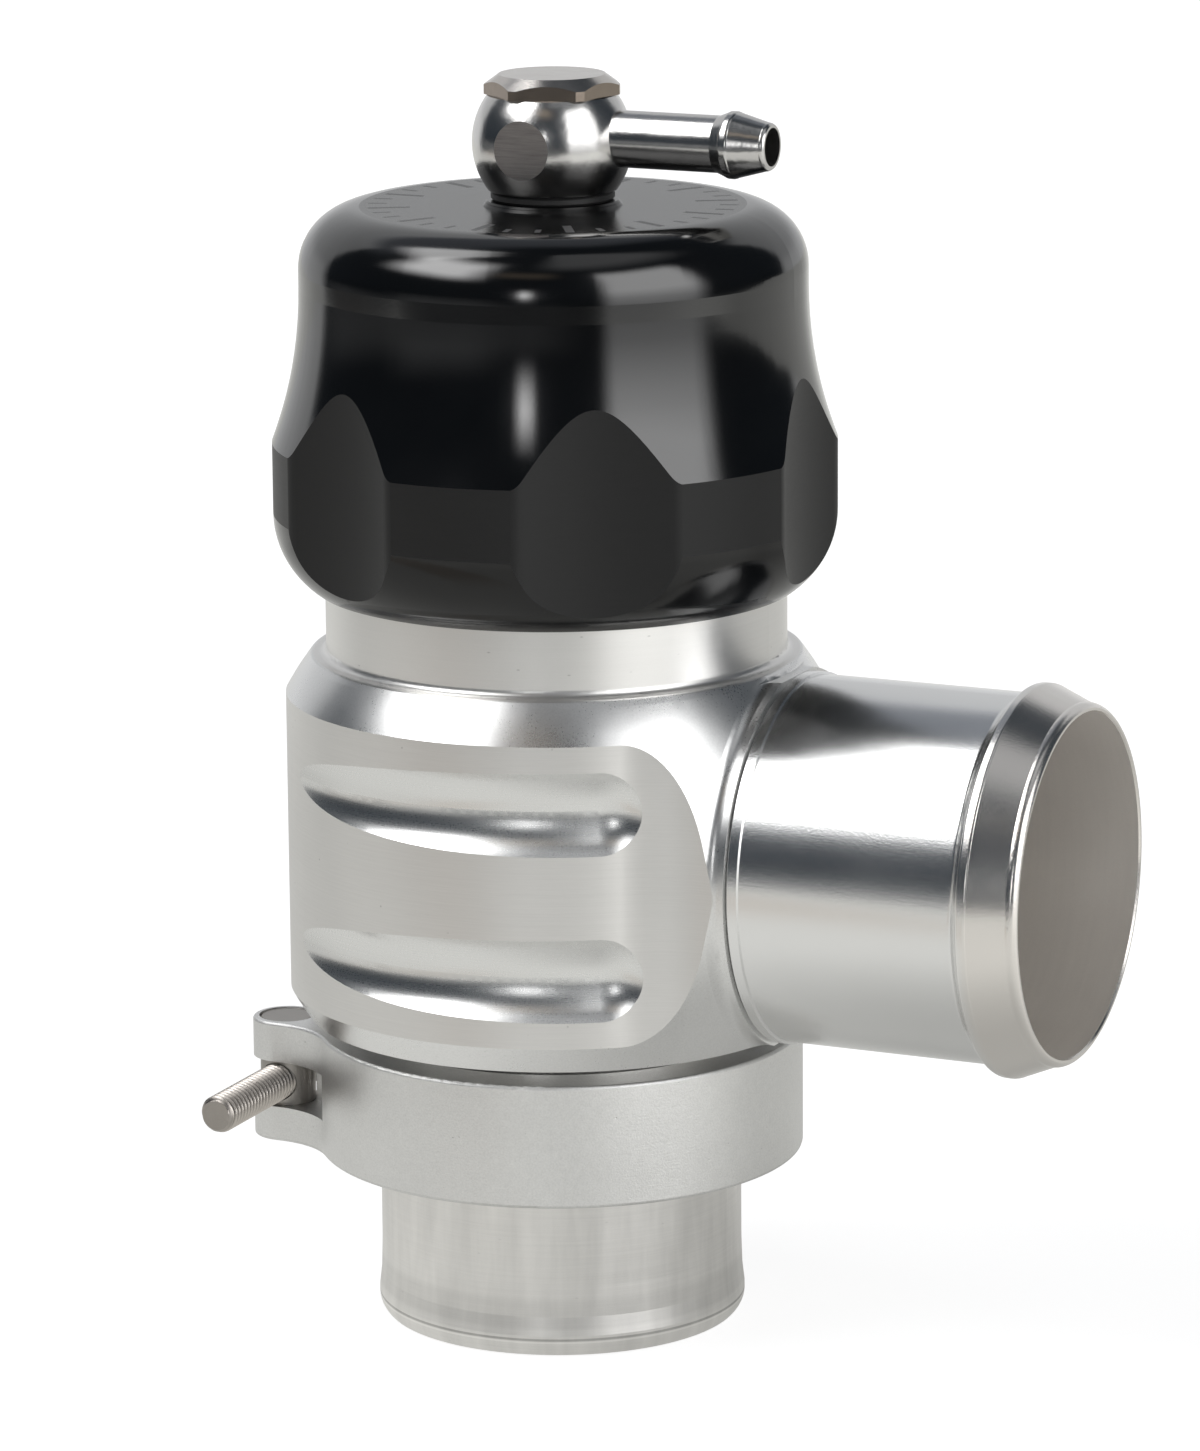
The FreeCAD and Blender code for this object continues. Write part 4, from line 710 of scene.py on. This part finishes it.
outer = m.span(far, 60.0, 260.0, 0.3, 1.0)
glow = m.math("ADD", m.span(far, 235.0, 340.0, 0.755, 0.90), m.math("MULTIPLY", m.math("MULTIPLY", sector(-17.0, 26.0, 9.0), m.span(far, 90.0, 200.0)), 0.16))
glow = m.math("SUBTRACT", glow, m.math("MULTIPLY", m.math("MULTIPLY", sector(54.0, 36.0, 8.0), outer), 0.26))
glow = m.math("SUBTRACT", glow, m.math("MULTIPLY", m.math("MULTIPLY", sector(-160.0, 44.0, 5.0), outer), 0.05))
glow = m.math("SUBTRACT", glow, m.math("MULTIPLY", m.math("MULTIPLY", sector(155.0, 40.0, 10.0), outer), 0.12))
# the table is shaded under the outlet tube
under = m.vec("LENGTH", m.join(m.math("SUBTRACT", x_, 48.0), m.math("MULTIPLY", y_, 0.8), 0.0))
glow = m.math("MULTIPLY", glow, m.span(under, 15.0, 75.0, 0.62, 1.0))
lean = m.math("ADD", dirn, m.math("MULTIPLY", m.math("SUBTRACT", far, 240.0), 0.17))
rosy = m.span(m.math("ABSOLUTE", m.math("ADD", lean, 113.0)), 8.0, 15.0, 1.0, 0.0)
rosy = m.math("MULTIPLY", rosy, m.span(far, 100.0, 200.0))
m.put(m.vec("MULTIPLY", m.tint(glow, (1.0, 1.0, 0.965)), m.blend(rosy, (1.0, 1.0, 1.0), (0.80, 0.73, 0.68))), e.inputs[0])
o_ = m.node("ShaderNodeOutputMaterial")
m.t.links.new(e.outputs[0], o_.inputs[0])
card = add_mesh("table_card", [(-0.50, -0.44, -0.0006), (0.50, -0.44, -0.0006), (2.5, 3.0, -0.0006), (-1.6, 3.0, -0.0006)], [(0, 1, 2, 3)], m.m)
card.visible_camera = False
card.visible_diffuse = False
card.visible_shadow = False
card.visible_transmission = False

# ------------------------------------------------------------------------- world
# Plain soft studio light by direction: azimuth and elevation in degrees, edges softened.
w = Mat("studio", world=True)
scene.world = w.m
tc = w.node("ShaderNodeTexCoord")
vx, vy, vz = w.parts(tc.outputs["Generated"])
az = w.math("MULTIPLY", w.math("ARCTAN2", vy, vx), 57.29578)
el = w.math("MULTIPLY", w.math("ARCSINE", vz), 57.29578)


def box_light(a0, a1, e0, e1, soft_a, soft_e, level, colour=(1.0, 1.0, 1.0)):
    mid, half = (a0 + a1) / 2, (a1 - a0) / 2
    d = w.math("ABSOLUTE", w.math("WRAP", w.math("SUBTRACT", az, mid), 180.0, -180.0))
    ma = w.span(d, half - soft_a, half + soft_a, 1.0, 0.0)
    up = w.math("ABSOLUTE", w.math("SUBTRACT", el, (e0 + e1) / 2))
    me_ = w.span(up, (e1 - e0) / 2 - soft_e, (e1 - e0) / 2 + soft_e, 1.0, 0.0)
    return w.tint(w.math("MULTIPLY", w.math("MULTIPLY", ma, me_), level), colour)


# tall panel on the right: it brightens upwards
panel_az = w.math("MULTIPLY", w.span(az, -46, -38), w.span(az, -2, 11, 1.0, 0.0))
panel_el = w.math("MULTIPLY", w.span(el, -13, -7), w.span(el, 41, 53, 1.0, 0.0))
right = w.math("MULTIPLY", w.math("MULTIPLY", panel_az, panel_el), w.span(el, -13, 16, 0.35, 2.8, smooth=False))

LIGHTS = [
    w.tint(right, (1.0, 1.0, 1.0)),
    box_light(-156, -108, 35, 62, 12, 8, 5.2),                         # key, upper left
    box_light(-195, -152, 52, 74, 6, 6, 3.5),
    box_light(62, 169, -30, 42, 3, 4, 0.57),                           # pale backdrop behind
    box_light(60, 170, -14, 8, 4, 5, 0.20),
    box_light(95, 180, 40, 68, 12, 8, 0.20, (0.92, 0.96, 1.06)),
    box_light(-81, -75, 5, 17, 2.5, 7, 6.0),                           # small lamp
    box_light(-98, -66, 42, 51, 8, 5, 0.30, (1.0, 0.78, 0.55)),        # warm glow
    box_light(-70, 40, 60, 97, 14, 9, 0.42),                           # ceiling above
    box_light(-185, -62, -10, -3, 15, 3, 0.13),
    box_light(-138, -94, -6, 1, 12, 3, 0.15),
    box_light(5, 62, -17, -6, 6, 4, 0.20),
]
total = w.tint(w.span(el, -20, 12, 0.35, 1.0), (0.032, 0.040, 0.050))
for light in LIGHTS:
    total = w.vec("ADD", total, light)
bg = w.node("ShaderNodeBackground")
w.put(total, bg.inputs[0])
pale = w.node("ShaderNodeBackground")
pale.inputs[0].default_value = (1.0, 1.0, 1.0, 1.0)
pale.inputs[1].default_value = 1.0
lp = w.node("ShaderNodeLightPath")
mix = w.node("ShaderNodeMixShader")
w.t.links.new(lp.outputs["Is Camera Ray"], mix.inputs[0])
w.t.links.new(bg.outputs[0], mix.inputs[1])
w.t.links.new(pale.outputs[0], mix.inputs[2])
out = w.node("ShaderNodeOutputWorld")
w.t.links.new(mix.outputs[0], out.inputs[0])
try:
    w.m.cycles.sampling_method = "MANUAL"
    w.m.cycles.sample_map_resolution = 1024
except Exception:
    pass

# ------------------------------------------------------------------------ camera
cam_data = bpy.data.cameras.new("camera")
cam = bpy.data.objects.new("camera", cam_data)
scene.collection.objects.link(cam)
R = Vector((0.9109306, 0.41249662, -0.00721027))
U = Vector((-0.08644774, 0.20793616, 0.97431481))
F = Vector((-0.40340084, 0.88690986, -0.22507481))
C = Vector((0.2863915, -0.6190126, 0.2199280))
cam.matrix_world = Matrix(((R.x, U.x, -F.x, C.x), (R.y, U.y, -F.y, C.y), (R.z, U.z, -F.z, C.z), (0, 0, 0, 1)))
cam_data.sensor_width = 36.0
cam_data.lens = 6742.651 * 36.0 / 1451.0
cam_data.clip_start, cam_data.clip_end = 0.05, 60.0
scene.camera = cam
